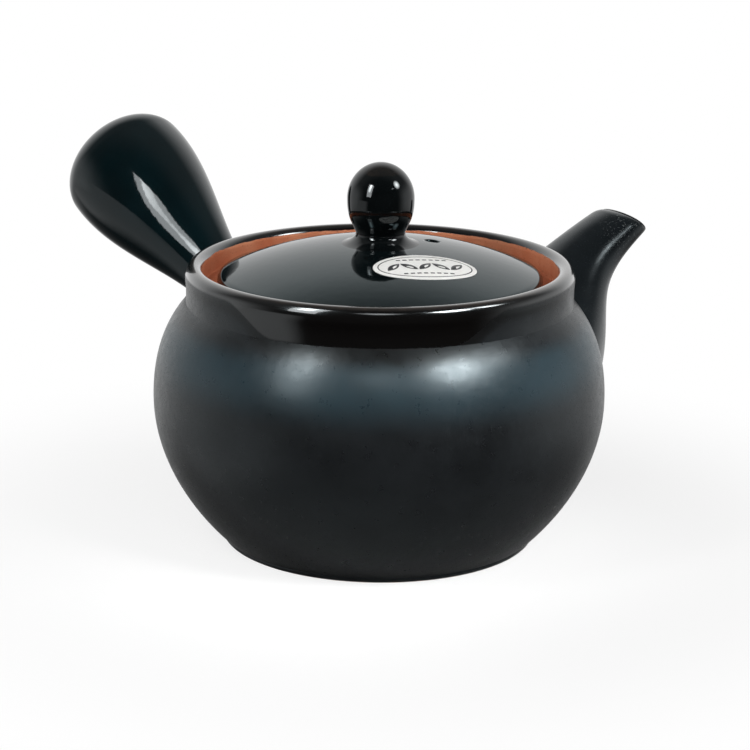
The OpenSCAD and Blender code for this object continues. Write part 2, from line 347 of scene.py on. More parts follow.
class Graph:
    """Adds nodes to one tree and joins them."""

    def __init__(self, tree: bpy.types.NodeTree) -> None:
        """Keeps the tree that the nodes go into."""
        self.tree = tree

    def add(self, kind: str, inputs: dict[Any, Any] | None = None, **settings: Any) -> bpy.types.Node:
        """Adds one node.

        Args:
            kind: Type of the node.
            inputs: Values or sockets for its inputs, by name or number.
            settings: Its own settings.

        Returns:
            The new node.
        """
        node = self.tree.nodes.new(kind)
        for key, value in settings.items():
            setattr(node, key, value)
        for key, value in (inputs or {}).items():
            self.feed(node.inputs[key], value)
        return node

    def feed(self, socket: bpy.types.NodeSocket, value: Any) -> None:
        """Links a socket to an input, or sets the input's value."""
        if isinstance(value, bpy.types.NodeSocket):
            self.tree.links.new(value, socket)
        elif value is not None:
            socket.default_value = value

    def math(self, operation: str, *values: Any) -> bpy.types.NodeSocket:
        """Result of a Math node on numbers or sockets."""
        return self.add("ShaderNodeMath", dict(enumerate(values)), operation=operation).outputs[0]

    def product(self, first: Any, *others: Any) -> bpy.types.NodeSocket:
        """Product of numbers or sockets."""
        for other in others:
            first = self.math("MULTIPLY", first, other)
        return first

    def vector(self, operation: str, *values: Any) -> bpy.types.NodeSocket:
        """Vector result of a Vector Math node."""
        return self.add("ShaderNodeVectorMath", dict(enumerate(values)), operation=operation).outputs[0]

    def joined(self, x: Any = None, y: Any = None, z: Any = None) -> bpy.types.NodeSocket:
        """Vector put together from numbers or sockets."""
        return self.add("ShaderNodeCombineXYZ", {0: x, 1: y, 2: z}).outputs[0]

    def parted(self, vector: bpy.types.NodeSocket) -> list[bpy.types.NodeSocket]:
        """The three numbers of a vector."""
        return list(self.add("ShaderNodeSeparateXYZ", {0: vector}).outputs)

    def spots(self, count: Any, start: Any, step: Any) -> bpy.types.NodeSocket:
        """Points in a straight row."""
        return self.add("GeometryNodeMeshLine", {"Count": count, "Start Location": start, "Offset": step}).outputs[0]

    def copies(self, points: Any, form: Any, turn: Any = None) -> bpy.types.NodeSocket:
        """Instances of a form on points."""
        feeds = {"Points": points, "Instance": form, "Rotation": turn}
        return self.add("GeometryNodeInstanceOnPoints", feeds).outputs[0]

    def span(self, value: Any, low: Any, high: Any, start: Any = 0.0, end: Any = 1.0) -> bpy.types.NodeSocket:
        """Eased value that goes from start to end between low and high."""
        feeds = {"Value": value, "From Min": low, "From Max": high, "To Min": start, "To Max": end}
        return self.add("ShaderNodeMapRange", feeds, interpolation_type="SMOOTHSTEP").outputs[0]

    def noise(self, position: Any, scale: Any, detail: float = 3.0, rough: float = 0.55) -> bpy.types.NodeSocket:
        """Value of a noise texture."""
        feeds = {"Vector": position, "Scale": scale, "Detail": detail, "Roughness": rough}
        return self.add("ShaderNodeTexNoise", feeds).outputs[0]

    def colour(self, factor: Any, a: Any, b: Any) -> bpy.types.NodeSocket:
        """Colour mixed from two others."""
        return self.add("ShaderNodeMix", {0: factor, 6: a, 7: b}, data_type="RGBA").outputs[2]

    def number(self, factor: Any, a: Any, b: Any) -> bpy.types.NodeSocket:
        """Number mixed from two others."""
        return self.add("ShaderNodeMix", {0: factor, 2: a, 3: b}, data_type="FLOAT").outputs[0]

    def use(self, tree: bpy.types.NodeTree, inputs: dict[str, Any]) -> Any:
        """Outputs of a shared group that is given its own values."""
        return self.add("ShaderNodeGroup", inputs, node_tree=tree).outputs

    def bump(self, height: Any, distance: float, strength: Any, under: Any = None) -> bpy.types.NodeSocket:
        """Normal of a relief, on top of another one."""
        feeds = {"Height": height, "Distance": distance, "Strength": strength, "Normal": under}
        return self.add("ShaderNodeBump", feeds).outputs[0]

    def attribute(self, name: str) -> bpy.types.NodeSocket:
        """Number painted on the piece under a name."""
        return self.add("ShaderNodeAttribute", attribute_name=name).outputs["Fac"]

    def position(self) -> bpy.types.NodeSocket:
        """Object coordinates in millimetres."""
        here = self.add("ShaderNodeTexCoord").outputs["Object"]
        return self.vector("MULTIPLY", here, (1 / MM, 1 / MM, 1 / MM))


def group(
    name: str, kind: str, inputs: Sequence[tuple[str, str, Any]], outputs: Sequence[tuple[str, str]]
) -> tuple[Graph, dict[str, bpy.types.NodeSocket], bpy.types.Node]:
    """Starts a node group with named sockets.

    Args:
        name: Name of the group.
        kind: Type of tree.
        inputs: Name, socket type and default of each input.
        outputs: Name and socket type of each output.

    Returns:
        The graph, its inputs by name and its output node.
    """
    tree = bpy.data.node_groups.new(name, kind)
    for label, socket, default in inputs:
        made = tree.interface.new_socket(name=label, in_out="INPUT", socket_type=socket)
        if default is not None:
            made.default_value = default
    for label, socket in outputs:
        tree.interface.new_socket(name=label, in_out="OUTPUT", socket_type=socket)
    graph = Graph(tree)
    entry, leave = graph.add("NodeGroupInput"), graph.add("NodeGroupOutput")
    return graph, {label: entry.outputs[label] for label, _, _ in inputs}, leave


def glaze_group() -> bpy.types.NodeTree:
    """Shared glaze: clouded colour, uneven roughness, pinpricks, pale grains for painted glints and a fine
    orange-peel height.
    """
    graph, given, leave = group(
        "glaze_surface", "ShaderNodeTree",
        [("Position", VEC, None), ("Cloud size", FLT, 9.0), ("Deep", COL, None), ("Cloud", COL, None),
         ("Fleck", COL, None), ("Fleck share", FLT, 0.1), ("Sleek", FLT, 0.1), ("Matt", FLT, 0.2),
         ("Haze share", FLT, 0.0), ("Haze", FLT, 0.5), ("Glints", FLT, 0.0)],
        [("Color", COL), ("Roughness", FLT), ("Height", FLT)])
    here = given["Position"]
    fine_scale, fleck_scale, grain_scale = 1.1, 0.42, 1.7
    sheen_scale, crystal_scale, peel_scale = 0.35, 3.2, 0.45
    border = 0.04
    wide = graph.noise(here, graph.math("DIVIDE", 1.0, given["Cloud size"]), 4.0, 0.6)
    fine = graph.noise(here, fine_scale)
    clouds = graph.span(graph.math("MULTIPLY_ADD", fine, 0.25, wide), 0.42, 0.82)
    cells = graph.add("ShaderNodeTexVoronoi", {"Vector": here, "Scale": fleck_scale})
    size = graph.add("ShaderNodeSeparateColor", {0: cells.outputs["Color"]}).outputs[0]
    reach = graph.math("MULTIPLY", graph.math("SUBTRACT", given["Fleck share"], size), 0.9)
    flecks = graph.span(graph.math("SUBTRACT", reach, cells.outputs["Distance"]), -0.04, 0.06)
    tone = graph.colour(clouds, given["Deep"], given["Cloud"])
    # Painted glints: fine pale grains where the glint input is painted, standing in for a broken highlight.
    glint_grains = graph.span(graph.noise(here, grain_scale, 3.0, 0.6), 0.58, 0.7)
    pale = graph.math("MAXIMUM", flecks, graph.math("MULTIPLY", glint_grains, given["Glints"]))
    graph.feed(leave.inputs["Color"], graph.colour(pale, tone, given["Fleck"]))
    sheen = graph.span(graph.noise(here, sheen_scale, 4.0, 0.65), 0.3, 0.7)
    edge = graph.math("MULTIPLY_ADD", given["Haze share"], -0.55, 0.775)
    crystals = graph.span(graph.noise(here, crystal_scale, 2.0), graph.math("SUBTRACT", edge, border),
                          graph.math("ADD", edge, border))
    even = graph.number(sheen, given["Sleek"], given["Matt"])
    graph.feed(leave.inputs["Roughness"], graph.number(crystals, even, given["Haze"]))
    peel = graph.noise(here, peel_scale, 1.5, 0.4)
    graph.feed(leave.inputs["Height"], graph.math("MULTIPLY_ADD", fine, 0.15, peel))
    return graph.tree


def clay_group() -> bpy.types.NodeTree:
    """Shared bare clay: sandy grain, iron specks and a rough height."""
    graph, given, leave = group(
        "bare_clay", "ShaderNodeTree",
        [("Position", VEC, None), ("Warm", COL, None), ("Pale", COL, None), ("Iron", COL, None)],
        [("Color", COL), ("Height", FLT)])
    here = given["Position"]
    patch_scale, grain_scale, speck_scale = 0.07, 2.4, 1.5
    wide = graph.span(graph.noise(here, patch_scale), 0.35, 0.65)
    grain = graph.noise(here, grain_scale, 4.0, 0.7)
    tone = graph.colour(graph.math("MULTIPLY_ADD", grain, 0.5, graph.math("MULTIPLY", wide, 0.6)),
                        given["Warm"], given["Pale"])
    specks = graph.span(graph.noise(here, speck_scale, 2.0, 0.8), 0.64, 0.72)
    graph.feed(leave.inputs["Color"], graph.colour(specks, tone, given["Iron"]))
    graph.feed(leave.inputs["Height"], grain)
    return graph.tree


def edge_group() -> bpy.types.NodeTree:
    """Shared wandering edge: turns a painted distance into a mask with an uneven border."""
    graph, given, leave = group(
        "wandering_edge", "ShaderNodeTree",
        [("Distance", FLT, 0.0), ("Position", VEC, None), ("Wander", FLT, 0.5), ("Ripple", FLT, 0.3),
         ("Softness", FLT, 0.2)],
        [("Mask", FLT)])
    sway = graph.math("SUBTRACT", graph.noise(given["Position"], given["Ripple"]), 0.5)
    moved = graph.math("MULTIPLY_ADD", sway, given["Wander"], given["Distance"])
    low = graph.math("MULTIPLY", given["Softness"], -1.0)
    graph.feed(leave.inputs["Mask"], graph.span(moved, low, given["Softness"]))
    return graph.tree


class Effects:
    """Node groups that the finishes share."""

    def __init__(self) -> None:
        """Builds each group once."""
        self.glaze = glaze_group()
        self.clay = clay_group()
        self.edge = edge_group()


def new_finish(name: str) -> tuple[bpy.types.Material, Graph, bpy.types.Node]:
    """Empty material with its graph and its one shader."""
    material = bpy.data.materials.new(name)
    material.use_nodes = True
    material.node_tree.nodes.clear()
    graph = Graph(material.node_tree)
    shader = graph.add("ShaderNodeBsdfPrincipled")
    graph.add("ShaderNodeOutputMaterial", {"Surface": shader.outputs[0]})
    return material, graph, shader


def rgba(colour: RGB) -> tuple[float, float, float, float]:
    """Colour with full alpha."""
    return (*colour, 1.0)


@dataclass(frozen=True)
class Border:
    """Uneven border of a painted area: how far and how quickly it strays, and half its soft width."""

    wander: float
    ripple: float
    softness: float


@dataclass(frozen=True)
class Clay:
    """Unglazed stoneware where the lid sits and under the foot."""

    warm: RGB = (0.46, 0.108, 0.038)
    pale: RGB = (0.62, 0.25, 0.13)
    iron: RGB = (0.16, 0.055, 0.03)
    roughness: float = 0.88
    relief: float = 0.00022


@dataclass(frozen=True)
class Glaze:
    """Dark glaze over stoneware, with bare clay where the piece is painted bare, and with painted blue sheen, painted
    dark reflection and painted glints where those are painted.
    """

    name: str
    deep: RGB
    cloud: RGB
    # Colour of the painted blue sheen.
    blue: RGB
    fleck: RGB
    fleck_share: float
    cloud_size: float
    sleek: float
    matt: float
    ior: float
    sheen_tint: RGB
    relief: float
    haze_share: float
    haze: float = 0.55
    # Near-black of the dark band round the neck: partly the darker rim glaze, partly painted dark reflection where
    # the band dips on the side that faces the camera.
    neck: RGB = (0.0022, 0.0018, 0.0017)
    neck_rough: float = 0.16
    worn: RGB = (0.022, 0.015, 0.011)
    coat_rough: float = 0.045
    coat_ior: float = 1.52
    coat_depth: Pair = (2.6, 3.4)
    patch_scale: float = 0.06
    clay: Clay = Clay()
    clay_border: Border = Border(0.7, 0.22, 0.12)
    dark_band_border: Border = Border(3.0, 0.2, 1.2)
    worn_border: Border = Border(0.7, 0.5, 0.55)

    def material(self, effects: Effects) -> bpy.types.Material:
        """Builds the glaze as a material.

        Args:
            effects: Node groups that the finishes share.

        Returns:
            The material.
        """
        material, graph, shader = new_finish(self.name)
        here = graph.position()
        glaze = graph.use(effects.glaze, {
            "Position": here, "Cloud size": self.cloud_size, "Deep": rgba(self.deep), "Cloud": rgba(self.cloud),
            "Fleck": rgba(self.fleck), "Fleck share": self.fleck_share, "Glints": graph.attribute("flecked"),
            "Sleek": self.sleek, "Matt": self.matt, "Haze": self.haze, "Haze share": self.haze_share,
        })
        clay = graph.use(effects.clay, {
            "Position": here, "Warm": rgba(self.clay.warm), "Pale": rgba(self.clay.pale),
            "Iron": rgba(self.clay.iron),
        })
        bare = self.mask(graph, effects, here, "bare", self.clay_border)
        pooled_and_shaded = self.mask(graph, effects, here, "gloss", self.dark_band_border)
        worn = self.mask(graph, effects, here, "thin", self.worn_border)
        # Painted sheen: a blue glow painted into the base colour where the piece asks for it, patchy by noise.
        patches = graph.span(graph.noise(here, self.patch_scale), 0.2, 0.75, 0.6, 1.1)
        sheen_share = graph.math("MULTIPLY", graph.attribute("blue"), patches)
        tone = graph.colour(sheen_share, glaze["Color"], rgba(self.blue))
        # Painted reflection: near-black where the dark band is painted, partly the darker rim glaze, partly painted
        # dark reflection.
        tone = graph.colour(pooled_and_shaded, tone, rgba(self.neck))
        tone = graph.colour(worn, tone, rgba(self.worn))
        graph.feed(shader.inputs["Base Color"], graph.colour(bare, tone, clay["Color"]))
        thick = graph.span(graph.attribute("gloss"), *self.coat_depth)
        smooth = graph.number(thick, glaze["Roughness"], self.neck_rough)
        graph.feed(shader.inputs["Roughness"], graph.number(bare, smooth, self.clay.roughness))
        shader.inputs["IOR"].default_value = self.ior
        shader.inputs["Specular Tint"].default_value = rgba(self.sheen_tint)
        glazed = graph.math("SUBTRACT", 1.0, bare)
        graph.feed(shader.inputs["Coat Weight"], graph.math("MULTIPLY", thick, glazed))
        shader.inputs["Coat Roughness"].default_value = self.coat_rough
        shader.inputs["Coat IOR"].default_value = self.coat_ior
        peel = graph.bump(glaze["Height"], self.relief, glazed)
        graph.feed(shader.inputs["Normal"], graph.bump(clay["Height"], self.clay.relief, bare, peel))
        return material

    @staticmethod
    def mask(
        graph: Graph, effects: Effects, here: bpy.types.NodeSocket, name: str, border: Border
    ) -> bpy.types.NodeSocket:
        """Mask of a painted distance.

        Args:
            graph: Graph of the material.
            effects: Node groups that the finishes share.
            here: Position in millimetres.
            name: Painted number, in millimetres.
            border: Border of the area.

        Returns:
            Socket of the mask.
        """
        return graph.use(effects.edge, {
            "Distance": graph.attribute(name), "Position": here, "Wander": border.wander,
            "Ripple": border.ripple, "Softness": border.softness,
        })["Mask"]


@dataclass(frozen=True)
class Paper:
    """Smooth label paper with a faint fibre."""

    name: str = "label_paper"
    bright: RGB = (0.68, 0.68, 0.665)
    dull: RGB = (0.62, 0.615, 0.59)
    roughness: float = 0.55
    relief: float = 0.00003

    def material(self) -> bpy.types.Material:
        """Builds the paper as a material."""
        material, graph, shader = new_finish(self.name)
        here = graph.position()
        fibre = graph.noise(graph.vector("MULTIPLY", here, (1.0, 3.0, 1.0)), 1.2, 5.0, 0.7)
        shade = graph.span(fibre, 0.35, 0.7)
        graph.feed(shader.inputs["Base Color"], graph.colour(shade, rgba(self.bright), rgba(self.dull)))
        graph.feed(shader.inputs["Roughness"], graph.number(shade, self.roughness, self.roughness + 0.15))
        graph.feed(shader.inputs["Normal"], graph.bump(fibre, self.relief, 0.6))
        return material


@dataclass(frozen=True)
class Ink:
    """Dark print on the label, thinner in places."""

    name: str = "label_ink"
    full: RGB = (0.018, 0.02, 0.022)
    thin: RGB = (0.07, 0.07, 0.07)

    def material(self) -> bpy.types.Material:
        """Builds the ink as a material."""
        material, graph, shader = new_finish(self.name)
        patchy = graph.span(graph.noise(graph.position(), 2.2, 3.0), 0.4, 0.75)
        graph.feed(shader.inputs["Base Color"], graph.colour(patchy, rgba(self.full), rgba(self.thin)))
        graph.feed(shader.inputs["Roughness"], graph.number(patchy, 0.42, 0.6))
        return material


@dataclass(frozen=True)
class Steel:
    """Stainless wire and strip with a drawn grain and faint tea stains."""

    name: str = "strainer_steel"
    bright: RGB = (0.60, 0.60, 0.59)
    stain: RGB = (0.36, 0.31, 0.25)
    sleek: float = 0.2
    matt: float = 0.38
    relief: float = 0.00002

    def material(self) -> bpy.types.Material:
        """Builds the steel as a material."""
        material, graph, shader = new_finish(self.name)
        here = graph.position()
        drawn = graph.noise(graph.vector("MULTIPLY", here, (0.35, 0.35, 6.0)), 1.4, 3.0)
        tea = graph.span(graph.noise(here, 0.09, 4.0), 0.52, 0.8)
        graph.feed(shader.inputs["Base Color"], graph.colour(tea, rgba(self.bright), rgba(self.stain)))
        graph.feed(shader.inputs["Roughness"], graph.number(drawn, self.sleek, self.matt))
        shader.inputs["Metallic"].default_value = 1.0
        graph.feed(shader.inputs["Normal"], graph.bump(drawn, self.relief, 0.5))
        return material


SATIN = Glaze("body_glaze", deep=(0.0052, 0.0057, 0.0064), cloud=(0.0088, 0.0098, 0.0110),
              blue=(0.012, 0.024, 0.031), fleck=(0.05, 0.055, 0.055), fleck_share=0.03, cloud_size=16.0,
              sleek=0.27, matt=0.34, ior=1.48, sheen_tint=(0.83, 0.955, 1.0), relief=0.00002, haze_share=0.28)
# On the spout the pale fleck colour is used only for painted glints.
DARK = replace(SATIN, name="spout_glaze", deep=(0.0026, 0.0030, 0.0036), cloud=(0.0050, 0.0062, 0.0076),
              fleck=(0.13, 0.14, 0.14), fleck_share=0.0, sleek=0.2, matt=0.27, haze_share=0.12)
GLOSS = Glaze("gloss_glaze", deep=(0.0012, 0.0017, 0.0019), cloud=(0.0026, 0.0036, 0.0040),
              blue=(0.003, 0.016, 0.020), fleck=(0.02, 0.02, 0.02), fleck_share=0.03, cloud_size=18.0,
              sleek=0.045, matt=0.075, ior=1.52, sheen_tint=(0.92, 0.98, 1.0), relief=0.000015, haze_share=0.0)
TINTED = replace(GLOSS, name="lid_glaze", sheen_tint=(0.64, 0.94, 1.0))


@dataclass
class PotBody:
    """Turned pot: belly, shoulder, neck with a rounded lip, lid seat, inside and foot ring."""

    belly_r: float = 60.0
    belly_z: float = 39.0
    belly_low: float = 17.0
    belly_high: float = 7.0
    shoulder: float = 8.2
    foot_r: float = 42.0
    foot_edge: float = 1.6
    ring_r: float = 35.4
    recess: float = 1.8
    neck_r: float = 51.2
    neck_z: float = 64.6
    waist: float = 0.15
    waist_pull: Pair = (2.2, 2.4)
    roll_z: float = 70.6
    rim_z: float = 74.6
    lip_r: float = 2.3
    lip_pull: float = 1.7
    seat_z: float = 68.5
    throat_r: float = 46.6
    mouth_r: float = 40.0
    mouth_z: float = 64.5
    mouth_lap: Pair = (1.4, 0.5)
    inner_r: float = 55.8
    inner_top: Pair = (53.7, 59.75)
    inner_pull: Pair = (46.0, 21.2)
    floor_z: float = 6.8
    floor_r: Pair = (44.1, 33.6)
    soft: Pair = (0.6, 0.7)
    port_r: float = 8.0
    port_x: float = 48.0
    port_z: float = 44.0
    port_long: float = 20.0
    seat_bare: Pair = (65.6, 73.3)
    seat_from: float = 60.0
    foot_bare: Pair = (41.3, 2.2)
    # Dark band round the neck: its lower edge is partly darker rim glaze, partly painted dark reflection; it dips
    # further as painted dark reflection on the side that faces the camera.
    dark_band_z: float = 69.2
    shade_apron: float = 7.4
    shade_apron_at: float = -132.0
    shade_apron_ends: Pair = (44.0, 26.0)
    lining: float = 2.0
    # Heights between which a blue sheen is painted over the shoulder, where its highlights fall.
    blue_low: Pair = (44.0, 55.0)
    blue_high: Pair = (63.0, 58.0)
    worn: Pair = (2.4, 0.25)

    def outer_line(self) -> np.ndarray:
        """Line from under the foot up to the middle of the lip."""
        edge = self.foot_edge
        foot = arc((self.foot_r - edge, edge), edge, -90, 0, 8)
        low = bezier([(self.foot_r, edge), (self.foot_r, edge), (self.belly_r, self.belly_low),
                      (self.belly_r, self.belly_z)], 48)
        high = bezier([(self.belly_r, self.belly_z), (self.belly_r, self.belly_z + self.belly_high),
                       (self.belly_r - self.lip_r / 2, self.neck_z - self.shoulder),
                       (self.neck_r, self.neck_z)], 60)
        waist_r, roll_r = self.neck_r - self.waist, self.neck_r + self.waist / 2
        wall = bezier([(self.neck_r, self.neck_z), (waist_r, self.neck_z + self.waist_pull[0]),
                       (waist_r, self.roll_z - self.waist_pull[1]), (roll_r, self.roll_z)], 12)[1:]
        crest = self.neck_r - self.lip_r
        lip = bezier([(roll_r, self.roll_z), (roll_r + self.waist, self.rim_z - self.lip_pull),
                      (crest + self.lip_pull, self.rim_z), (crest, self.rim_z)], 20)[1:]
        return np.concatenate([foot, low[1:], high[1:], wall, lip])

    def inner_line(self) -> np.ndarray:
        """Line from the middle of the lip down inside to the middle of the floor."""
        lip = arc((self.neck_r - self.lip_r, self.rim_z - self.lip_r), self.lip_r, 90, 180, 12)
        seat = softened([(self.throat_r, self.rim_z - self.lip_r), (self.throat_r, self.seat_z),
                         (self.mouth_r, self.seat_z), (self.mouth_r, self.mouth_z),
                         (self.mouth_r + self.mouth_lap[0], self.mouth_z - self.mouth_lap[1])], self.soft[1])
        high = bezier([(self.mouth_r, self.mouth_z), self.inner_top, (self.inner_r, self.inner_pull[0]),
                       (self.inner_r, self.belly_z)], 32)
        low = bezier([(self.inner_r, self.belly_z), (self.inner_r, self.inner_pull[1]),
                      (self.floor_r[0], self.floor_z), (self.floor_r[1], self.floor_z)], 32)
        return np.concatenate([lip[1:], seat[1:], high[2:], low[1:], [(0.0, self.floor_z)]])

    def radius_at(self, z: np.ndarray) -> np.ndarray:
        """Radius of the outer surface at heights."""
        line = self.outer_line()
        return np.interp(z, line[:, 1], line[:, 0])

    def clear_of(self, points: np.ndarray) -> np.ndarray:
        """How far points stand outside the outer surface, along the radius."""
        return np.hypot(points[..., 0], points[..., 1]) - self.radius_at(points[..., 2])

    def on_surface(self, points: np.ndarray) -> np.ndarray:
        """Points moved along their radius to the outer surface."""
        share = self.radius_at(points[..., 2]) / np.hypot(points[..., 0], points[..., 1])
        return np.stack([points[..., 0] * share, points[..., 1] * share, points[..., 2]], axis=-1)

    def normals_at(self, points: np.ndarray) -> np.ndarray:
        """Outward directions of the outer surface near points."""
        step = 0.3
        slope = self.radius_at(points[..., 2] + step) - self.radius_at(points[..., 2] - step)
        angle = np.arctan2(points[..., 1], points[..., 0])
        out = np.stack([np.cos(angle), np.sin(angle), -slope / (2 * step)], axis=-1)
        return out / np.linalg.norm(out, axis=-1, keepdims=True)

    def build(self) -> bpy.types.Object:
        """Turns the pot and drills the port behind the spout.

        Returns:
            The pot.
        """
        under = softened([(0.0, self.recess), (self.ring_r, self.recess), (self.ring_r, 0.0),
                          (self.foot_r - self.foot_edge, 0.0)], self.soft[0])
        line = np.concatenate([under, self.outer_line()[1:], self.inner_line()])
        pot = turned("pot_shell", dense(line))
        tool = np.array([(0.0, 0.0), (self.port_r, 0.0), (self.port_r, self.port_long), (0.0, self.port_long)])
        turn = Matrix.Translation((self.port_x, 0.0, self.port_z)) @ Matrix.Rotation(math.pi / 2, 4, "Y")
        drill(pot, tool, turn)
        return pot

    def dress(self, pot: bpy.types.Object, finish: bpy.types.Material) -> None:
        """Paints where the glaze ends, pools and wears, paints a dark reflection down the side that faces the camera
        and a blue sheen over the shoulder, and ties the pot to the frame.

        Args:
            pot: The pot.
            finish: Body glaze.
        """
        at = points_of(pot)
        r, z = np.hypot(at[:, 0], at[:, 1]), at[:, 2]
        crest = self.neck_r - self.lip_r
        seat = np.minimum(self.seat_bare[1] - z, z - self.seat_bare[0])
        gallery = np.where((r < crest) & (z > self.seat_from), seat, OUTSIDE)
        under = np.minimum(self.foot_bare[0] - r, self.foot_bare[1] - z)
        # Painted shade: the dark band dips on the side that faces the camera, as a painted dark reflection.
        round_by = np.degrees(np.arctan2(at[:, 1], at[:, 0])) - self.shade_apron_at
        off = np.abs((round_by + 180) % 360 - 180)
        pool_and_shade_line = self.dark_band_z - self.shade_apron * ease(off, *self.shade_apron_ends)
        inside = r < self.radius_at(z) - self.lining
        # Painted sheen: a blue glow over the shoulder band between the sheen heights.
        coat(pot, finish, bare=np.maximum(gallery, under), gloss=np.where(inside, -OUTSIDE, z - pool_and_shade_line),
             blue=ease(z, *self.blue_low) * ease(z, *self.blue_high),
             thin=np.where(np.abs(r - crest) < self.worn[0], z - self.rim_z + self.worn[1], OUTSIDE))
        place(pot, Rider.POT, Slot.BODY, "pot_body")


def luted_tube(
    name: str, outside: np.ndarray, rim: Sequence[np.ndarray], inside: np.ndarray, pot: PotBody,
    seam: float, steps: int,
) -> bpy.types.Object:
    """Hollow tube that grows out of the pot's outer surface over a smoothed seam of slip.

    Args:
        name: Name of the piece.
        outside: Lines of points, from inside the pot's wall to the tube's end.
        rim: Rings between the end of the outside and the start of the inside.
        inside: Lines of points, from the tube's end back into the pot.
        pot: Pot that carries the tube.
        seam: Width of the seam.
        steps: Rings along the outside and along the inside.

    Returns:
        The closed tube.
    """
    roots, lengths = [], []
    for line in outside:
        clear = pot.clear_of(line)
        last = int(np.max(np.nonzero(clear < 0)[0]))
        share = clear[last] / (clear[last] - clear[last + 1])
        roots.append(line[last] + (line[last + 1] - line[last]) * share)
        runs = np.linalg.norm(np.diff(line[: last + 1], axis=0), axis=1).sum()
        lengths.append(runs + np.linalg.norm(roots[-1] - line[last]))
    root = np.array(roots)
    normal = pot.normals_at(root)
    along = np.roll(root, -1, axis=0) - np.roll(root, 1, axis=0)
    away = np.cross(normal, along)
    away /= np.linalg.norm(away, axis=1, keepdims=True)
    away *= np.sign(np.sum(away * (root - root.mean(axis=0)), axis=1))[:, None]
    foot = pot.on_surface(root + away * seam)
    walls = np.stack([resampled(line, length + seam, steps) for line, length in zip(outside, lengths)], axis=1)
    rings = [foot - pot.normals_at(foot) * FOOT_SINK]
    for t in np.linspace(0.0, 1.0, SEAM_STEPS, endpoint=False):
        curve = foot * (1 - t) ** 2 + root * 2 * t * (1 - t) + walls[0] * t * t
        rings.append(curve - normal * (SEAM_SINK * (1 - t)))
    rings.extend(walls)
    rings.extend(rim)
    back = []
    for line in inside:
        first = int(np.min(np.nonzero(pot.clear_of(line) < -BACK_SINK)[0]))
        back.append(resampled(line[: first + 1], 0.0, steps))
    rings.extend(np.stack(back, axis=1))
    return skin(name, rings, loop=True)


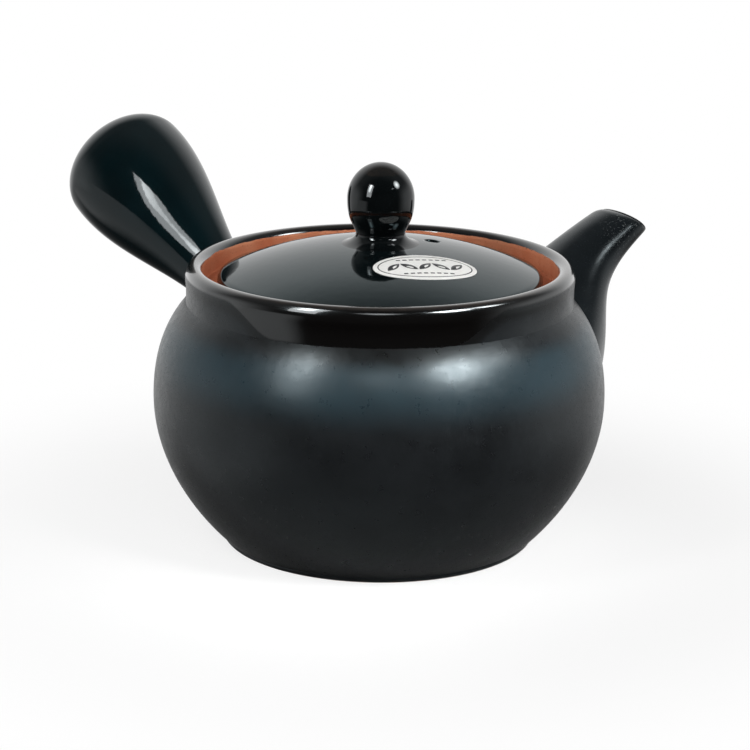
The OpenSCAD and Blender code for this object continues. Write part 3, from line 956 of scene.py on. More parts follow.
@dataclass
class Spout:
    """Hollow spout lofted between a crest and a keel, luted to the shoulder."""

    crest: tuple[Pair, ...] = ((52.45, 62.925), (66.0, 75.0), (81.0, 79.5))
    keel: tuple[Pair, ...] = ((57.9, 25.925), (80.6, 43.8), (59.3, 52.2), (90.1, 72.3))
    widths: tuple[float, ...] = (26.0, 13.0, 10.0, 8.9)
    wall: float = 3.2
    lip_t: float = 2.0
    lip_crown: float = 0.5
    lip_round: float = 1.5
    lip_from: float = 0.92
    rim_steps: int = 12
    buried: float = 12.0
    buried_steps: int = 40
    taper: float = 0.9
    loft_steps: int = 240
    seam: float = 2.2
    steps: int = 90
    worn: float = 0.1
    # Share of painted blue sheen.
    blue: float = 0.12
    # Pale grains painted near the mouth on the side that faces the camera, as a painted broken highlight.
    glint_low: Pair = (70.0, 78.0)
    glint_high: Pair = (90.0, 86.0)
    glint_side: Pair = (0.0, -5.0)

    def ring(self, t: float, inset: float) -> np.ndarray:
        """Oval ring of the loft.

        Args:
            t: Share of the way from the root to the mouth.
            inset: Length by which the ring is drawn in.

        Returns:
            Points of the ring.
        """
        a = full_turn(TUBE_LINES)
        high, low, wide = (bezier_at(line, t) for line in (self.crest, self.keel, [(w,) for w in self.widths]))
        half, middle = (high - low) / 2, (high + low) / 2
        half = half * (1 - inset / np.linalg.norm(half))
        return np.stack([middle[0] + half[0] * np.cos(a), (wide[0] - inset) * np.sin(a),
                         middle[1] + half[1] * np.cos(a)], axis=1)

    def lines(self, inset: Callable[[float], float]) -> np.ndarray:
        """Lines along the loft, from inside the pot to the mouth.

        Args:
            inset: Inset at each share of the way.

        Returns:
            Array of lines, points and coordinates.
        """
        first = self.ring(0.0, inset(0.0))
        deep = first * (1.0, self.taper, 1.0) - (self.buried, 0.0, 0.0)
        rings = [deep + (first - deep) * k / self.buried_steps for k in range(self.buried_steps)]
        rings += [self.ring(t, inset(t)) for t in np.linspace(0.0, 1.0, self.loft_steps + 1)]
        return np.stack(rings, axis=1)

    def face(self) -> np.ndarray:
        """Direction in which the mouth faces."""
        span = np.array(self.crest[-1]) - np.array(self.keel[-1])
        return np.array([span[1], 0.0, -span[0]]) / np.linalg.norm(span)

    def build(self, pot: PotBody) -> bpy.types.Object:
        """Lofts the spout with its hollow and its rounded mouth.

        Args:
            pot: Pot that carries the spout.

        Returns:
            The spout.
        """
        outside = self.lines(lambda t: 0.0)
        way = np.linspace(0.0, 1.0, self.loft_steps + 1)
        end = np.clip((way - self.lip_from) / (1 - self.lip_from), 0.0, 1.0)
        drop = self.lip_round * (1 - np.sqrt(1 - end ** 2))
        loft = outside[:, self.buried_steps:]
        inward = loft.mean(axis=0) - loft
        inward /= np.linalg.norm(inward, axis=-1, keepdims=True)
        high = (1 + np.cos(full_turn(TUBE_LINES))) / 2
        loft += inward * drop[None, :, None] * high[:, None, None]
        inside = self.lines(lambda t: self.wall + (self.lip_t - self.wall) * t)[:, ::-1]
        rim = []
        for turn in np.linspace(0.0, math.pi, self.rim_steps + 1)[1:-1]:
            share = (1 - math.cos(turn)) / 2
            ring = outside[:, -1] * (1 - share) + inside[:, 0] * share
            rim.append(ring + self.face() * self.lip_crown * math.sin(turn))
        return luted_tube("spout_tube", outside, rim, inside, pot, self.seam, self.steps)

    def dress(self, spout: bpy.types.Object, finish: bpy.types.Material) -> None:
        """Paints the worn mouth, pale specks near the end as a painted broken highlight, and a faint blue sheen, and
        ties the spout to the frame.

        Args:
            spout: The spout.
            finish: Spout glaze.
        """
        at = points_of(spout)
        middle = (np.array(self.crest[-1]) + np.array(self.keel[-1])) / 2
        out = (at - (middle[0], 0.0, middle[1])) @ self.face()
        # Painted glints near the end, on the side that faces the camera.
        glint_grains = ease(at[:, 0], *self.glint_low) * ease(at[:, 1], *self.glint_side) * ease(at[:, 0], *self.glint_high)
        coat(spout, finish, thin=out - self.lip_crown + self.worn, blue=self.blue, flecked=glint_grains)
        place(spout, Rider.POT, Slot.BODY, "spout")


@dataclass
class SideHandle:
    """Hollow flared handle with a domed, pierced end, luted to the shoulder."""

    bearing: float = 98.0
    tilt: float = 32.2
    axis_z: float = 19.2
    side: tuple[Pair, ...] = ((8.7, 58.0), (3.35, 79.6), (19.61, 101.2), (18.5, 122.8))
    cap: float = 11.8
    wall: float = 3.5
    hole_r: float = 6.0
    hole_soft: float = 1.3
    hole_pull: float = 0.35
    side_steps: int = 120
    cap_steps: int = 48
    seam: float = 1.9
    steps: int = 100
    # Share of painted blue sheen.
    blue: float = 0.45

    def profile(self, inset: float) -> np.ndarray:
        """Radius and length along the axis, from the root to the edge of the end hole.

        Args:
            inset: Length by which the profile is drawn in.

        Returns:
            Points of the profile.
        """
        side = bezier([(r - inset, s) for r, s in self.side], self.side_steps)
        wide, long = self.side[-1][0] - inset, self.cap - inset
        a = np.linspace(0.0, math.acos(self.hole_r / wide), self.cap_steps + 1)[1:]
        dome = np.stack([wide * np.cos(a), self.side[-1][1] + long * np.sin(a)], axis=1)
        return np.concatenate([side, dome])

    def lines(self, profile: np.ndarray) -> np.ndarray:
        """Profile turned about the handle's axis.

        Args:
            profile: Points of radius and length along the axis.

        Returns:
            Array of lines, points and coordinates.
        """
        turn, rise = math.radians(self.bearing), math.radians(self.tilt)
        flat = np.array([math.cos(turn), math.sin(turn), 0.0])
        axis = flat * math.cos(rise) + np.array([0.0, 0.0, math.sin(rise)])
        side = np.array([-math.sin(turn), math.cos(turn), 0.0])
        over = np.cross(axis, side)
        a = full_turn(TUBE_LINES)[:, None, None]
        spread = side * np.cos(a) + over * np.sin(a)
        return np.array([0.0, 0.0, self.axis_z]) + axis * profile[None, :, 1:] + spread * profile[None, :, :1]

    def build(self, pot: PotBody) -> bpy.types.Object:
        """Turns the handle with its hollow and the soft edge of its end hole.

        Args:
            pot: Pot that carries the handle.

        Returns:
            The handle.
        """
        outer, inner = self.profile(0.0), self.profile(self.wall)
        keep = np.linalg.norm(outer - outer[-1], axis=1) > self.hole_soft
        outer = outer[keep]
        deep = (outer[-1][1] + inner[-1][1]) / 2
        edge = bezier([outer[-1], (self.hole_r, outer[-1][1] + self.hole_pull), (self.hole_r, deep)], 8)
        bore = np.concatenate([edge[1:], [inner[-1]]])
        rim = list(self.lines(dense(bore)).transpose(1, 0, 2)[:-1])
        inside = self.lines(inner[::-1])
        return luted_tube("handle_shell", self.lines(outer), rim, inside, pot, self.seam, self.steps)

    def dress(self, handle: bpy.types.Object, finish: bpy.types.Material) -> None:
        """Paints the handle as glazed all over with a painted blue sheen and ties it to the frame.

        Args:
            handle: The handle.
            finish: Gloss glaze.
        """
        coat(handle, finish, blue=self.blue)
        place(handle, Rider.POT, Slot.GLOSS, "handle")


@dataclass
class Lid:
    """Low domed lid with a flange that drops into the mouth and a steam vent."""

    radius: float = 42.9
    seat_z: float = 68.5
    crown_z: float = 80.3
    dome_r: float = 112.0
    edge_round: float = 2.4
    thick: float = 4.5
    flange_r: float = 39.0
    flange_t: float = 3.0
    flange_z: float = 61.5
    vent_r: float = 1.8
    vent_out: float = 14.7
    vent_bearing: float = -15.7
    vent_soft: float = 0.7
    vent_deep: float = 12.0
    tool_spare: Pair = (0.3, 1.0)
    tool_lift: float = 0.02
    soft: float = 0.7
    bare_from: float = 2.3
    # Share of painted blue sheen.
    blue: float = 0.08

    def dome_z(self, r: np.ndarray | float) -> np.ndarray | float:
        """Height of the lid's top at a radius."""
        return self.crown_z - self.dome_r + np.sqrt(self.dome_r ** 2 - np.square(r))

    def build(self) -> bpy.types.Object:
        """Turns the lid and drills its vent with a soft edge.

        Returns:
            The lid.
        """
        edge_r = self.radius - self.edge_round
        turn = math.acos(edge_r / (self.dome_r - self.edge_round))
        r = np.linspace(0.0, self.dome_r * math.cos(turn), 60)
        top = np.stack([r, self.dome_z(r)], axis=1)
        edge_z = self.crown_z - self.dome_r + (self.dome_r - self.edge_round) * math.sin(turn)
        edge = arc((edge_r, edge_z), self.edge_round, math.degrees(turn), 0, 10)
        hollow = self.flange_r - self.flange_t
        under_r = np.linspace(hollow, 0.0, 40)
        under = np.stack([under_r, self.dome_z(under_r) - self.thick], axis=1)
        skirt = softened([(self.radius, edge_z), (self.radius, self.seat_z), (self.flange_r, self.seat_z),
                          (self.flange_r, self.flange_z), (hollow, self.flange_z), tuple(under[0])], self.soft)
        lid = turned("lid_shell", dense(np.concatenate([top, edge[1:], skirt[1:], under[1:]])))
        a = math.radians(self.vent_bearing)
        spot = Vector((self.vent_out * math.cos(a), self.vent_out * math.sin(a), 0.0))
        out = Vector((spot.x, spot.y, math.sqrt(self.dome_r ** 2 - self.vent_out ** 2))).normalized()
        spot.z = float(self.dome_z(self.vent_out))
        flare = arc((self.vent_r + self.vent_soft, -self.vent_soft), self.vent_soft, 180, 90, 8)
        wide, high = self.vent_r + self.vent_soft + self.tool_spare[0], self.tool_spare[1]
        tool = np.concatenate([[(0.0, -self.vent_deep), (self.vent_r, -self.vent_deep)], flare,
                               [(wide, self.tool_lift), (wide, high), (0.0, high)]])
        drill(lid, tool, Matrix.Translation(spot) @ out.to_track_quat("Z", "Y").to_matrix().to_4x4())
        return lid

    def dress(self, lid: bpy.types.Object, finish: bpy.types.Material) -> None:
        """Paints the bare seat and underside and a faint painted blue sheen, and ties the lid to the frame.

        Args:
            lid: The lid.
            finish: Lid glaze.
        """
        at = points_of(lid)
        r = np.minimum(np.hypot(at[:, 0], at[:, 1]), self.radius)
        coat(lid, finish, bare=self.dome_z(r) - self.bare_from - at[:, 2], blue=self.blue)
        place(lid, Rider.LID, Slot.GLOSS, "lid")


@dataclass
class Knob:
    """Ball knob on a short stem whose foot runs out into the lid."""

    girth_r: float = 8.85
    girth_z: float = 91.8
    top_z: float = 101.3
    stem_r: float = 6.55
    stem_z: float = 83.0
    stem_pull: Pair = (0.45, 1.3)
    bulb_pull: Pair = (0.8, 2.3)
    bulb_share: float = 0.62
    foot_r: float = 11.0
    foot_pull: Pair = (8.3, 0.02)
    foot_sink: float = 0.05
    base: Pair = (0.6, 1.0)
    band: float = 0.8
    worn: Pair = (2.2, -0.2)

    def build(self, lid: Lid) -> bpy.types.Object:
        """Turns the knob.

        Args:
            lid: Lid that carries the knob.

        Returns:
            The knob.
        """
        foot_z = float(lid.dome_z(self.foot_r)) - self.foot_sink
        pull_r, lift = self.foot_pull
        spread = bezier([(self.foot_r, foot_z), (pull_r, float(lid.dome_z(pull_r)) + lift),
                         (self.stem_r - self.stem_pull[0], self.stem_z - self.stem_pull[1]),
                         (self.stem_r, self.stem_z)], 20)
        swell = self.girth_z - self.stem_z
        bulb = bezier([(self.stem_r, self.stem_z),
                       (self.stem_r + self.bulb_pull[0], self.stem_z + self.bulb_pull[1]),
                       (self.girth_r, self.girth_z - swell * self.bulb_share), (self.girth_r, self.girth_z)], 28)
        a = np.linspace(0.0, math.pi / 2, 33)[1:-1]
        cap = np.stack([self.girth_r * np.cos(a), self.girth_z + (self.top_z - self.girth_z) * np.sin(a)], 1)
        base_r, base_z = self.foot_r - self.base[0], foot_z - self.base[1]
        line = np.concatenate([[(0.0, base_z), (base_r, base_z)], spread, bulb[1:], cap, [(0.0, self.top_z)]])
        return turned("knob_ball", dense(line, self.band))

    def dress(self, knob: bpy.types.Object, finish: bpy.types.Material) -> None:
        """Paints the warm worn top and ties the knob to the frame.

        Args:
            knob: The knob.
            finish: Gloss glaze.
        """
        below = points_of(knob)[:, 2] - self.top_z
        coat(knob, finish, thin=np.minimum(below + self.worn[0], self.worn[1]))
        place(knob, Rider.LID, Slot.GLOSS, "lid_knob")


def grown(name: str, tree: bpy.types.NodeTree, values: dict[str, Any]) -> bpy.types.Object:
    """Piece made by a geometry tree and written down as a plain mesh.

    Args:
        name: Name of the piece.
        tree: Geometry tree.
        values: Value of each named input.

    Returns:
        The plain mesh object.
    """
    obj = add_object(name, bpy.data.meshes.new(name))
    maker = obj.modifiers.new("maker", "NODES")
    maker.node_group = tree
    for item in tree.interface.items_tree:
        if item.item_type == "SOCKET" and item.in_out == "INPUT" and item.name in values:
            maker[item.identifier] = values[item.name]
    bpy.context.view_layer.update()
    plain_mesh(obj)
    return obj


def geometry_group(name: str, inputs: Sequence[tuple[str, str, Any]]) -> tuple[Graph, dict[str, Any], bpy.types.Node]:
    """Geometry tree with named inputs and one geometry output."""
    finish = ("Finish", "NodeSocketMaterial", None)
    return group(name, "GeometryNodeTree", [*inputs, finish], [("Geometry", "NodeSocketGeometry")])


def end_tree(graph: Graph, given: dict[str, Any], leave: bpy.types.Node, made: Any) -> bpy.types.NodeTree:
    """Ends a geometry tree in realized, smooth, finished geometry."""
    real = graph.add("GeometryNodeRealizeInstances", {0: made}).outputs[0]
    smooth = graph.add("GeometryNodeSetShadeSmooth", {"Geometry": real}).outputs[0]
    done = graph.add("GeometryNodeSetMaterial", {"Geometry": smooth, "Material": given["Finish"]}).outputs[0]
    graph.feed(leave.inputs["Geometry"], done)
    return graph.tree


@dataclass
class Label:
    """Oval paper label on the lid, with a plain printed border, a row of leaves and two rows of dashes."""

    long: float = 27.4
    wide: float = 14.8
    thick: float = 0.15
    glue: float = 0.05
    out: float = 22.6
    bearing: float = -96.5
    turn: float = -21.6
    border_in: float = 1.3
    border_w: float = 0.32
    leaves: int = 5
    leaf_gap: float = 4.2
    leaf: Pair = (2.7, 1.1)
    dashes: int = 8
    dash_gap: float = 1.75
    dash: Pair = (1.1, 0.6)
    dash_row: float = 4.0
    leaf_tilt: float = 0.75
    ink_t: float = 0.02
    ink_lift: float = 0.008
    edge_share: float = 0.996
    edge_drop: float = 0.04
    ring_steps: int = 96
    rings: int = 16

    def centre(self) -> Vector:
        """Middle of the label in plan."""
        a = math.radians(self.bearing)
        return Vector((self.out * math.cos(a), self.out * math.sin(a), 0.0))

    def ring(self, share: float, lift: float, lid: Lid) -> np.ndarray:
        """Oval ring draped on the lid.

        Args:
            share: Share of the label's size.
            lift: Height above the lid.
            lid: Lid that carries the label.

        Returns:
            Points of the ring.
        """
        a = full_turn(self.ring_steps) if share > 0 else np.zeros(1)
        turn, spot = math.radians(self.turn), self.centre()
        u, v = share * self.long / 2 * np.cos(a), share * self.wide / 2 * np.sin(a)
        x = spot.x + u * math.cos(turn) - v * math.sin(turn)
        y = spot.y + u * math.sin(turn) + v * math.cos(turn)
        return np.stack([x, y, lid.dome_z(np.hypot(x, y)) + lift], axis=1)

    def build(self, lid: Lid) -> bpy.types.Object:
        """Drapes the paper on the lid.

        Args:
            lid: Lid that carries the label.

        Returns:
            The paper.
        """
        shares = np.linspace(0.0, 1.0, self.rings + 1)
        top = self.glue + self.thick
        rings = [self.ring(s, top, lid) for s in shares[:-1]]
        rings += [self.ring(self.edge_share, top, lid), self.ring(1.0, top - self.edge_drop, lid)]
        rings += [self.ring(s, self.glue, lid) for s in shares[::-1]]
        return skin("label_sheet", rings)

    @staticmethod
    def row(
        graph: Graph, count: Any, gap: Any, out: Any, mark: bpy.types.Node, turn: Any = None
    ) -> bpy.types.NodeSocket:
        """Row of equal marks along the label.

        Args:
            graph: Graph of the print.
            count: Number of marks.
            gap: Distance from mark to mark.
            out: Distance of the row from the label's middle line.
            mark: Node that makes one mark.
            turn: Rotation of each mark.

        Returns:
            Socket of the marks.
        """
        run = graph.product(graph.math("SUBTRACT", count, 1.0), gap)
        start = graph.joined(graph.product(run, -0.5), out)
        return graph.copies(graph.spots(count, start, graph.joined(gap)), mark.outputs[0], turn)

    def print_tree(self) -> bpy.types.NodeTree:
        """Geometry tree of the print: an oval border, leaves and dashes, draped on the dome."""
        graph, given, leave = geometry_group("label_print", [
            ("Long", FLT, 0.02), ("Wide", FLT, 0.01), ("Border", FLT, 0.0003), ("Depth", FLT, 0.00002),
            ("Leaves", INT, 5), ("Gap", FLT, 0.003), ("Leaf", VEC, None),
            ("Dashes", INT, 8), ("Dash gap", FLT, 0.002), ("Dash", VEC, None), ("Row", FLT, 0.004),
            ("Turn", VEC, None), ("Centre", VEC, None), ("Dome", FLT, 0.1), ("Crown", FLT, 0.08)])
        oval = graph.add("GeometryNodeCurvePrimitiveCircle", {"Resolution": 120, "Radius": 1.0})
        size = graph.joined(given["Long"], given["Wide"], 1.0)
        shaped = graph.add("GeometryNodeTransform", {"Geometry": oval.outputs[0], "Scale": size})
        section = graph.add("GeometryNodeCurvePrimitiveQuadrilateral",
                            {"Width": given["Border"], "Height": given["Depth"]})
        border = graph.add("GeometryNodeCurveToMesh", {0: shaped.outputs[0], 1: section.outputs[0]})
        disc = graph.add("GeometryNodeMeshCylinder", {"Vertices": 24, "Radius": 1.0, "Depth": 1.0})
        x, y, z = graph.parted(graph.add("GeometryNodeInputPosition").outputs[0])
        tip = graph.joined(x, graph.product(y, graph.math("ABSOLUTE", y)), z)
        leaf = graph.vector("MULTIPLY", tip, given["Leaf"])
        form = graph.add("GeometryNodeSetPosition", {"Geometry": disc.outputs[0], "Position": leaf})
        odd = graph.math("MODULO", graph.add("GeometryNodeInputIndex").outputs[0], 2.0)
        tilt = graph.joined(z=graph.math("MULTIPLY_ADD", odd, -2 * self.leaf_tilt, self.leaf_tilt))
        dash = graph.add("GeometryNodeMeshCube", {"Size": given["Dash"]})
        join = graph.add("GeometryNodeJoinGeometry", {0: border.outputs[0]})
        graph.feed(join.inputs[0], self.row(graph, given["Leaves"], given["Gap"], 0.0, form, tilt))
        for side in (-1.0, 1.0):
            out = graph.product(given["Row"], side)
            graph.feed(join.inputs[0], self.row(graph, given["Dashes"], given["Dash gap"], out, dash))
        real = graph.add("GeometryNodeRealizeInstances", {0: join.outputs[0]})
        laid = graph.add("GeometryNodeTransform", {"Geometry": real.outputs[0], "Rotation": given["Turn"],
                                                   "Translation": given["Centre"]})
        x, y, _ = graph.parted(graph.add("GeometryNodeInputPosition").outputs[0])
        dome, *flat = (graph.product(run, run) for run in (given["Dome"], x, y))
        left = graph.math("SUBTRACT", dome, graph.math("ADD", *flat))
        drop = graph.math("SUBTRACT", graph.math("SQRT", left), given["Dome"])
        lift = graph.joined(z=graph.math("ADD", drop, given["Crown"]))
        draped = graph.add("GeometryNodeSetPosition", {"Geometry": laid.outputs[0], "Offset": lift})
        return end_tree(graph, given, leave, draped.outputs[0])

    def printed(self, lid: Lid, ink: bpy.types.Material) -> bpy.types.Object:
        """Grows the print on the paper.

        Args:
            lid: Lid that carries the label.
            ink: Finish of the print.

        Returns:
            The print.
        """
        leaf, dash = (tuple(size * MM for size in (*mark, self.ink_t)) for mark in (self.leaf, self.dash))
        crown = lid.crown_z + self.glue + self.thick + self.ink_lift
        return grown("label_print", self.print_tree(), {
            "Long": (self.long / 2 - self.border_in) * MM, "Wide": (self.wide / 2 - self.border_in) * MM,
            "Border": self.border_w * MM, "Depth": self.ink_t * MM,
            "Leaves": self.leaves, "Gap": self.leaf_gap * MM, "Leaf": leaf,
            "Dashes": self.dashes, "Dash gap": self.dash_gap * MM, "Dash": dash, "Row": self.dash_row * MM,
            "Turn": (0.0, 0.0, math.radians(self.turn)), "Centre": tuple(self.centre() * MM),
            "Dome": lid.dome_r * MM, "Crown": crown * MM, "Finish": ink})

    def dress(self, sheet: bpy.types.Object, marks: bpy.types.Object, paper: bpy.types.Material) -> None:
        """Gives the paper its finish and ties paper and print to the frame.

        Args:
            sheet: The paper.
            marks: The print.
            paper: Finish of the paper.
        """
        sheet.data.materials.append(paper)
        place(sheet, Rider.LID, Slot.PAPER, "lid_label")
        place(marks, Rider.LID, Slot.PAPER)


@dataclass
class Strainer:
    """Woven wire band inside the belly, with folded hems and a welded seam strip."""

    low_z: float = 23.5
    high_z: float = 54.5
    mesh_r: float = 50.82
    hem_r: float = 51.67
    hem_w: float = 1.7
    hem_h: float = 2.6
    hem_round: float = 0.42
    hem_band: float = 0.6
    fold_t: float = 0.5
    tuck: float = 0.2
    warp: int = 270
    weft: int = 24
    wire: float = 0.27
    crimp: float = 0.11
    strip_w: float = 8.0
    strip_t: float = 0.4
    strip_r: float = 50.12
    strip_gap: float = 0.05
    strip_soft: float = 0.12
    strip_round: float = 0.15
    strip_steps: int = 24
    welds: int = 7
    weld: tuple[float, float, float] = (0.16, 0.75, 0.75)
    weld_lift: float = 0.02
    weld_in: float = 2.0
    weld_gap: float = 4.2

    def weave_tree(self) -> bpy.types.NodeTree:
        """Geometry tree of the plain weave: upright wires and hoops that pass over and under."""
        graph, given, leave = geometry_group("wire_weave", [
            ("Radius", FLT, 0.05), ("Bottom", FLT, 0.02), ("Height", FLT, 0.03), ("Wire", FLT, 0.0003),
            ("Crimp", FLT, 0.0001), ("Uprights", INT, 200), ("Hoops", INT, 20)])
        foot = graph.joined(z=given["Bottom"])
        top = graph.joined(z=graph.math("ADD", given["Bottom"], given["Height"]))
        line = graph.add("GeometryNodeCurvePrimitiveLine", {"Start": foot, "End": top})
        upright = graph.add("GeometryNodeResampleCurve", {"Curve": line.outputs[0], "Count": given["Hoops"]})
        ring = graph.add("GeometryNodeMeshCircle", {"Vertices": given["Uprights"], "Radius": given["Radius"]})
        warp = graph.copies(ring.outputs[0], upright.outputs[0])
        hoop = graph.add("GeometryNodeCurvePrimitiveCircle", {"Resolution": given["Uprights"],
                                                              "Radius": given["Radius"]})
        gap = graph.math("DIVIDE", given["Height"], graph.math("SUBTRACT", given["Hoops"], 1.0))
        weft = graph.copies(graph.spots(given["Hoops"], foot, graph.joined(z=gap)), hoop.outputs[0])
        section = graph.add("GeometryNodeCurvePrimitiveCircle",
                            {"Resolution": 4, "Radius": graph.math("DIVIDE", given["Wire"], 2.0)})
        join = graph.add("GeometryNodeJoinGeometry")
        for made, sign in ((warp, 1.0), (weft, -1.0)):
            real = graph.add("GeometryNodeRealizeInstances", {0: made})
            at = graph.add("GeometryNodeSplineParameter").outputs["Index"]
            which = graph.add("GeometryNodeCurveOfPoint").outputs["Curve Index"]
            phase = graph.math("MULTIPLY", graph.math("ADD", at, which), math.pi)
            bend = graph.product(graph.math("COSINE", phase), sign, given["Crimp"])
            here = graph.add("GeometryNodeInputPosition").outputs[0]
            out = graph.vector("NORMALIZE", graph.vector("MULTIPLY", here, (1.0, 1.0, 0.0)))
            away = graph.add("ShaderNodeVectorMath", {0: out, "Scale": bend}, operation="SCALE").outputs[0]
            bent = graph.add("GeometryNodeSetPosition", {"Geometry": real.outputs[0], "Offset": away})
            wire = graph.add("GeometryNodeCurveToMesh", {0: bent.outputs[0], 1: section.outputs[0],
                                                         "Fill Caps": True})
            graph.feed(join.inputs[0], wire.outputs[0])
        return end_tree(graph, given, leave, join.outputs[0])

    def weld_tree(self) -> bpy.types.NodeTree:
        """Geometry tree of the spot welds: two upright rows of shallow buttons on the strip."""
        graph, given, leave = geometry_group("spot_welds", [
            ("Start", VEC, None), ("Rise", FLT, 0.003), ("Count", INT, 6), ("Spread", FLT, 0.004),
            ("Button", VEC, None)])
        step = graph.joined(z=given["Rise"])
        bead = graph.add("GeometryNodeMeshUVSphere", {"Segments": 12, "Rings": 6, "Radius": 1.0})
        form = graph.add("GeometryNodeTransform", {"Geometry": bead.outputs[0], "Scale": given["Button"]})
        join = graph.add("GeometryNodeJoinGeometry")
        for side in (-0.5, 0.5):
            shift = graph.joined(y=graph.product(given["Spread"], side))
            row = graph.spots(given["Count"], graph.vector("ADD", given["Start"], shift), step)
            graph.feed(join.inputs[0], graph.copies(row, form.outputs[0]))
        return end_tree(graph, given, leave, join.outputs[0])

    def hem(self, name: str, foot: float, up: float) -> bpy.types.Object:
        """Folded hem whose slot holds an edge of the mesh.

        Args:
            name: Name of the piece.
            foot: Height of its closed edge.
            up: 1 if the slot opens upwards, -1 if downwards.

        Returns:
            The hem.
        """
        r, w, h, t = self.hem_r, self.hem_w, self.hem_h, self.fold_t
        outline = [(r - w / 2, 0.0), (r, 0.0), (r, h), (r - t, h), (r - t, h / 2), (r - w + t, h / 2),
                   (r - w + t, h), (r - w, h), (r - w, 0.0), (r - w / 2, 0.0)]
        line = dense(softened(outline, self.hem_round), self.hem_band)[:-1]
        return turned(name, np.stack([line[:, 0], foot + up * line[:, 1]], axis=1), loop=True)

    def strip(self) -> bpy.types.Object:
        """Curved strip that laps the ends of the band."""
        half, soft = self.strip_w / 2, self.strip_soft
        low, high = self.low_z + self.hem_h + self.strip_gap, self.high_z - self.hem_h - self.strip_gap
        middle = (low + high) / 2
        turns = np.linspace(-half, half, self.strip_steps + 1) / self.strip_r + math.pi
        rings = []
        for angle, inset in [(turns[0], soft), *[(a, 0.0) for a in turns[1:-1]], (turns[-1], soft)]:
            r0, r1 = self.strip_r + inset / 2, self.strip_r + self.strip_t - inset / 2
            section = softened([(r0, middle), (r0, low + inset), (r1, low + inset), (r1, high - inset),
                                (r0, high - inset), (r0, middle)], self.strip_round)[:-1]
            rings.append(np.stack([section[:, 0] * math.cos(angle), section[:, 0] * math.sin(angle),
                                   section[:, 1]], axis=1))
        ends = [ring.mean(axis=0)[None, :] for ring in (rings[0], rings[-1])]
        return skin("strainer_lap", [ends[0], *rings, ends[1]])

    def build(self, finish: bpy.types.Material) -> list[tuple[bpy.types.Object, tuple[str, ...]]]:
        """Makes the mesh, the hems, the strip and its welds.

        Args:
            finish: Steel.

        Returns:
            Each piece with the nodes that it stands for.
        """
        low, high = self.low_z + self.hem_h / 2 + self.tuck, self.high_z - self.hem_h / 2 - self.tuck
        weave = grown("strainer_weave", self.weave_tree(), {
            "Radius": self.mesh_r * MM, "Bottom": low * MM, "Height": (high - low) * MM, "Wire": self.wire * MM,
            "Crimp": self.crimp * MM, "Uprights": self.warp, "Hoops": self.weft, "Finish": finish})
        first, last = self.low_z + self.hem_h + self.weld_in, self.high_z - self.hem_h - self.weld_in
        welds = grown("strainer_welds", self.weld_tree(), {
            "Start": (-(self.strip_r - self.weld_lift) * MM, 0.0, first * MM), "Count": self.welds,
            "Rise": (last - first) / (self.welds - 1) * MM, "Spread": self.weld_gap * MM,
            "Button": tuple(size * MM for size in self.weld), "Finish": finish})
        plain = [(self.hem("strainer_top_fold", self.high_z, -1.0), ("strainer_top_hem",)),
                 (self.hem("strainer_bottom_fold", self.low_z, 1.0), ("strainer_bottom_hem",)),
                 (self.strip(), ("strainer_seam_strip",))]
        for piece, _ in plain:
            piece.data.materials.append(finish)
        return [(weave, ("strainer_mesh",)), *plain, (welds, ())]

    def dress(self, pieces: list[tuple[bpy.types.Object, tuple[str, ...]]]) -> None:
        """Ties the strainer's pieces to the frame."""
        for piece, nodes in pieces:
            place(piece, Rider.POT, Slot.STEEL, *nodes)


class LampShape(Enum):
    """Outlines of a studio lamp."""

    BOX = "RECTANGLE"
    ROUND = "DISK"


@dataclass(frozen=True)
class Softbox:
    """Studio lamp that points at the pot; its bearing is 0 behind the pot and 90 to the right.

    Its width, its height and the distance from its aim are metres, and its aim is millimetres.
    """

    name: str
    bearing: float
    rise: float
    width: float
    height: float
    glow: float
    away: float
    aim: tuple[float, float, float] = (0.0, 0.0, 50.0)
    beam: float = 180.0
    shape: LampShape = LampShape.BOX

    def toward(self) -> Vector:
        """Direction from the pot to the lamp, as the camera sees left and right."""
        turn, up = math.radians(self.bearing), math.radians(self.rise)
        return Vector((math.sin(turn) * math.cos(up), math.cos(turn) * math.cos(up), math.sin(up)))

    def hang(self, turn: Matrix) -> None:
        """Hangs the lamp beside the pot.

        Args:
            turn: Turns what the camera sees as left and right into the frame.
        """
        data = bpy.data.lights.new(self.name, "AREA")
        data.shape, data.size, data.size_y = self.shape.value, self.width, self.height
        data.spread = math.radians(self.beam)
        data.energy = self.glow * math.pi * self.width * self.height
        lamp = bpy.data.objects.new(self.name, data)
        toward = turn @ self.toward()
        lamp.location = toward * self.away + turn @ Vector(self.aim) * MM
        lamp.visible_camera = False
        lamp.rotation_euler = (-toward).to_track_quat("-Z", "Y").to_euler()
        bpy.context.scene.collection.objects.link(lamp)


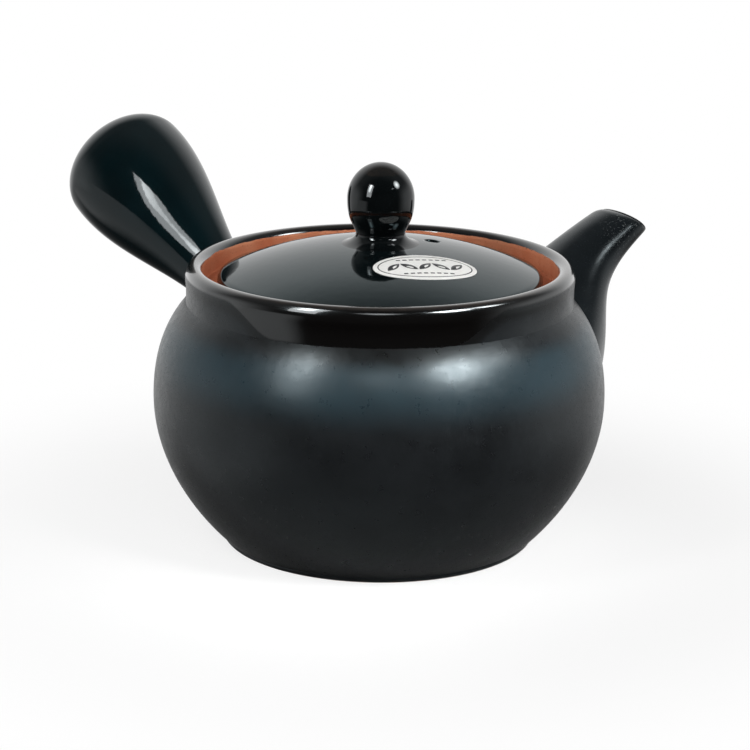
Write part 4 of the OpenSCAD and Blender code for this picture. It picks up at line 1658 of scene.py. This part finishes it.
@dataclass(frozen=True)
class Surroundings:
    """White background for the camera, a room for reflections and a window in front for soft light.

    The room has pale walls that darken towards the camera, a bright screen behind the pot, a dim
    ceiling and ground, and a pale board low at the left. Pairs are the ends of a fade, in heights or
    in shares of a direction.
    """

    heading: float
    backdrop: float = -6.0
    ambient: float = 0.08
    ceiling: float = 0.15
    wall: float = 0.68
    wall_height: Pair = (0.05, 0.5)
    shade: float = 0.03
    shade_near: Pair = (-0.1, 0.55)
    screen: float = 0.9
    screen_height: Pair = (0.55, 1.0)
    screen_back: Pair = (0.1, 0.8)
    ground: float = 0.15
    ground_height: Pair = (-0.55, -0.15)
    pit: float = 0.04
    pit_height: Pair = (-0.8, -0.35)
    board: float = 0.5
    board_top: Pair = (-0.09, -0.05)
    board_left: Pair = (0.65, 0.82)
    board_foot: float = 0.2
    board_low: Pair = (-0.7, -0.5)
    window: float = 1.15
    window_near: Pair = (-0.3, 0.6)
    window_height: Pair = (0.0, 0.5)

    def facing(self, graph: Graph, look: bpy.types.NodeSocket, bearing: float) -> bpy.types.NodeSocket:
        """How nearly a look points at a bearing round the pot, from -1 to 1.

        Args:
            graph: Graph of the surroundings.
            look: Direction of the look.
            bearing: 0 behind the pot and 90 to the right.

        Returns:
            Socket of the value.
        """
        turn = Matrix.Rotation(math.radians(self.heading - bearing), 3, "Z")
        toward = tuple(turn @ Vector((0.0, 1.0, 0.0)))
        return graph.add("ShaderNodeVectorMath", {0: look, 1: toward}, operation="DOT_PRODUCT").outputs["Value"]

    def build(self) -> None:
        """Makes the world."""
        world = bpy.data.worlds.new("studio")
        world.use_nodes = True
        world.node_tree.nodes.clear()
        graph = Graph(world.node_tree)
        look = graph.add("ShaderNodeTexCoord").outputs["Generated"]
        height = graph.parted(look)[2]
        near, back, left = (self.facing(graph, look, bearing) for bearing in (180.0, self.backdrop, -90.0))
        walls = graph.product(graph.span(height, *self.wall_height, self.wall, self.ceiling),
                              graph.span(near, *self.shade_near, 1.0, self.shade))
        screen = graph.product(graph.span(height, *self.screen_height, self.screen, self.ceiling),
                               graph.span(back, *self.screen_back))
        below = graph.product(graph.span(height, *self.ground_height, self.ground, 1.0),
                              graph.span(height, *self.pit_height, self.pit, 1.0))
        board = graph.product(graph.span(height, *self.board_top, self.board, 0.0),
                              graph.span(height, *self.board_low, self.board_foot, 1.0),
                              graph.span(left, *self.board_left))
        room = graph.product(graph.math("MAXIMUM", walls, screen), below)
        seen = graph.math("MAXIMUM", room, board)
        path = graph.add("ShaderNodeLightPath").outputs
        mirrored = graph.math("MAXIMUM", path["Is Glossy Ray"], path["Is Transmission Ray"])
        window = graph.product(graph.span(near, *self.window_near),
                               graph.span(height, *self.window_height, 0.0, self.window))
        soft = graph.math("MAXIMUM", window, self.ambient)
        level = graph.number(path["Is Camera Ray"], graph.number(mirrored, soft, seen), 1.0)
        glow = graph.add("ShaderNodeBackground", {"Color": (1.0, 1.0, 1.0, 1.0), "Strength": level})
        graph.add("ShaderNodeOutputWorld", {"Surface": glow.outputs[0]})
        bpy.context.scene.world = world


@dataclass
class Studio:
    """Camera, lamps, surroundings and pale floor; the floor's sizes are metres."""

    eye: tuple[float, float, float] = (-390.46, -518.12, 223.8)
    aim: tuple[float, float, float] = (-0.894, 0.674, 43.8)
    roll: float = 0.51
    lens: float = 121.25
    sensor: float = 36.0
    clip: Pair = (0.01, 20.0)
    heading: float = -37.0
    lamps: tuple[Softbox, ...] = (
        Softbox("left_box", -138.0, 33.0, 0.075, 0.16, 5.6, 0.272),
        Softbox("left_core", -137.0, 40.0, 0.03, 0.09, 1.7, 0.268, beam=50.0),
        Softbox("right_spot", 107.0, 37.0, 0.12, 0.12, 0.3, 0.28, (0.0, 0.0, 93.0), 24.0, LampShape.ROUND),
        Softbox("right_box", 131.0, 44.0, 0.13, 0.06, 1.55, 0.2, (27.0, -53.0, 43.0), 27.0),
        Softbox("front_box", 180.0, 43.0, 0.16, 0.05, 0.125, 0.2, (0.0, -58.0, 43.0), 28.0),
    )
    floor_r: float = 0.18
    floor_fade: Pair = (0.35, 0.98)
    floor_cover: float = 0.2
    floor_tone: RGB = (0.86, 0.86, 0.86)
    floor_grain: float = 40.0
    floor_rough: Pair = (0.85, 0.95)
    floor_steps: int = 64

    def camera(self) -> None:
        """Sets the camera at the photograph's viewpoint."""
        eye, aim = Vector(self.eye) * MM, Vector(self.aim) * MM
        back = (eye - aim).normalized()
        right = Vector((0.0, 0.0, 1.0)).cross(back).normalized()
        up = back.cross(right)
        c, s = math.cos(math.radians(self.roll)), math.sin(math.radians(self.roll))
        axes = [right * c + up * s, up * c - right * s, back]
        data = bpy.data.cameras.new("camera")
        data.lens, data.sensor_width = self.lens, self.sensor
        data.clip_start, data.clip_end = self.clip
        camera = bpy.data.objects.new("camera", data)
        camera.matrix_world = Matrix.Translation(eye) @ Matrix(axes).transposed().to_4x4()
        bpy.context.scene.collection.objects.link(camera)
        bpy.context.scene.camera = camera

    def floor(self) -> None:
        """Pale floor that keeps the shadow and fades out into the white background."""
        material, graph, shader = new_finish("floor_paper")
        here = graph.add("ShaderNodeTexCoord").outputs["Object"]
        away = graph.add("ShaderNodeVectorMath", {0: here}, operation="LENGTH").outputs["Value"]
        start, end = (self.floor_r * share for share in self.floor_fade)
        graph.feed(shader.inputs["Alpha"], graph.span(away, start, end, self.floor_cover, 0.0))
        graph.feed(shader.inputs["Base Color"], rgba(self.floor_tone))
        graph.feed(shader.inputs["Specular IOR Level"], 0.0)
        graph.feed(shader.inputs["Roughness"], graph.number(graph.noise(here, self.floor_grain), *self.floor_rough))
        a = full_turn(self.floor_steps)
        edge = np.stack([np.cos(a), np.sin(a), np.zeros_like(a)], axis=1) * self.floor_r / MM
        floor = skin("floor", [np.zeros((1, 3)), *(edge * share for share in (0.25, 0.5, 0.75, 1.0))])
        floor.data.materials.append(material)

    def build(self) -> None:
        """Sets up the whole studio."""
        self.camera()
        turn = Matrix.Rotation(math.radians(self.heading), 3, "Z")
        for lamp in self.lamps:
            lamp.hang(turn)
        Surroundings(self.heading).build()
        self.floor()
        bpy.context.scene.view_settings.view_transform = "Standard"


def main() -> None:
    """Builds the studio and every piece in order."""
    logging.basicConfig(level=logging.INFO, format="%(name)s: %(message)s")
    Studio().build()
    effects = Effects()
    satin, dark, gloss, tinted = (finish.material(effects) for finish in (SATIN, DARK, GLOSS, TINTED))
    pot, spout, handle = PotBody(), Spout(), SideHandle()
    pot.dress(pot.build(), satin)
    spout.dress(spout.build(pot), dark)
    handle.dress(handle.build(pot), gloss)
    lid, knob, label = Lid(), Knob(), Label()
    lid.dress(lid.build(), tinted)
    knob.dress(knob.build(lid), gloss)
    label.dress(label.build(lid), label.printed(lid, Ink().material()), Paper().material())
    strainer = Strainer()
    strainer.dress(strainer.build(Steel().material()))


if __name__ == "__main__":
    main()
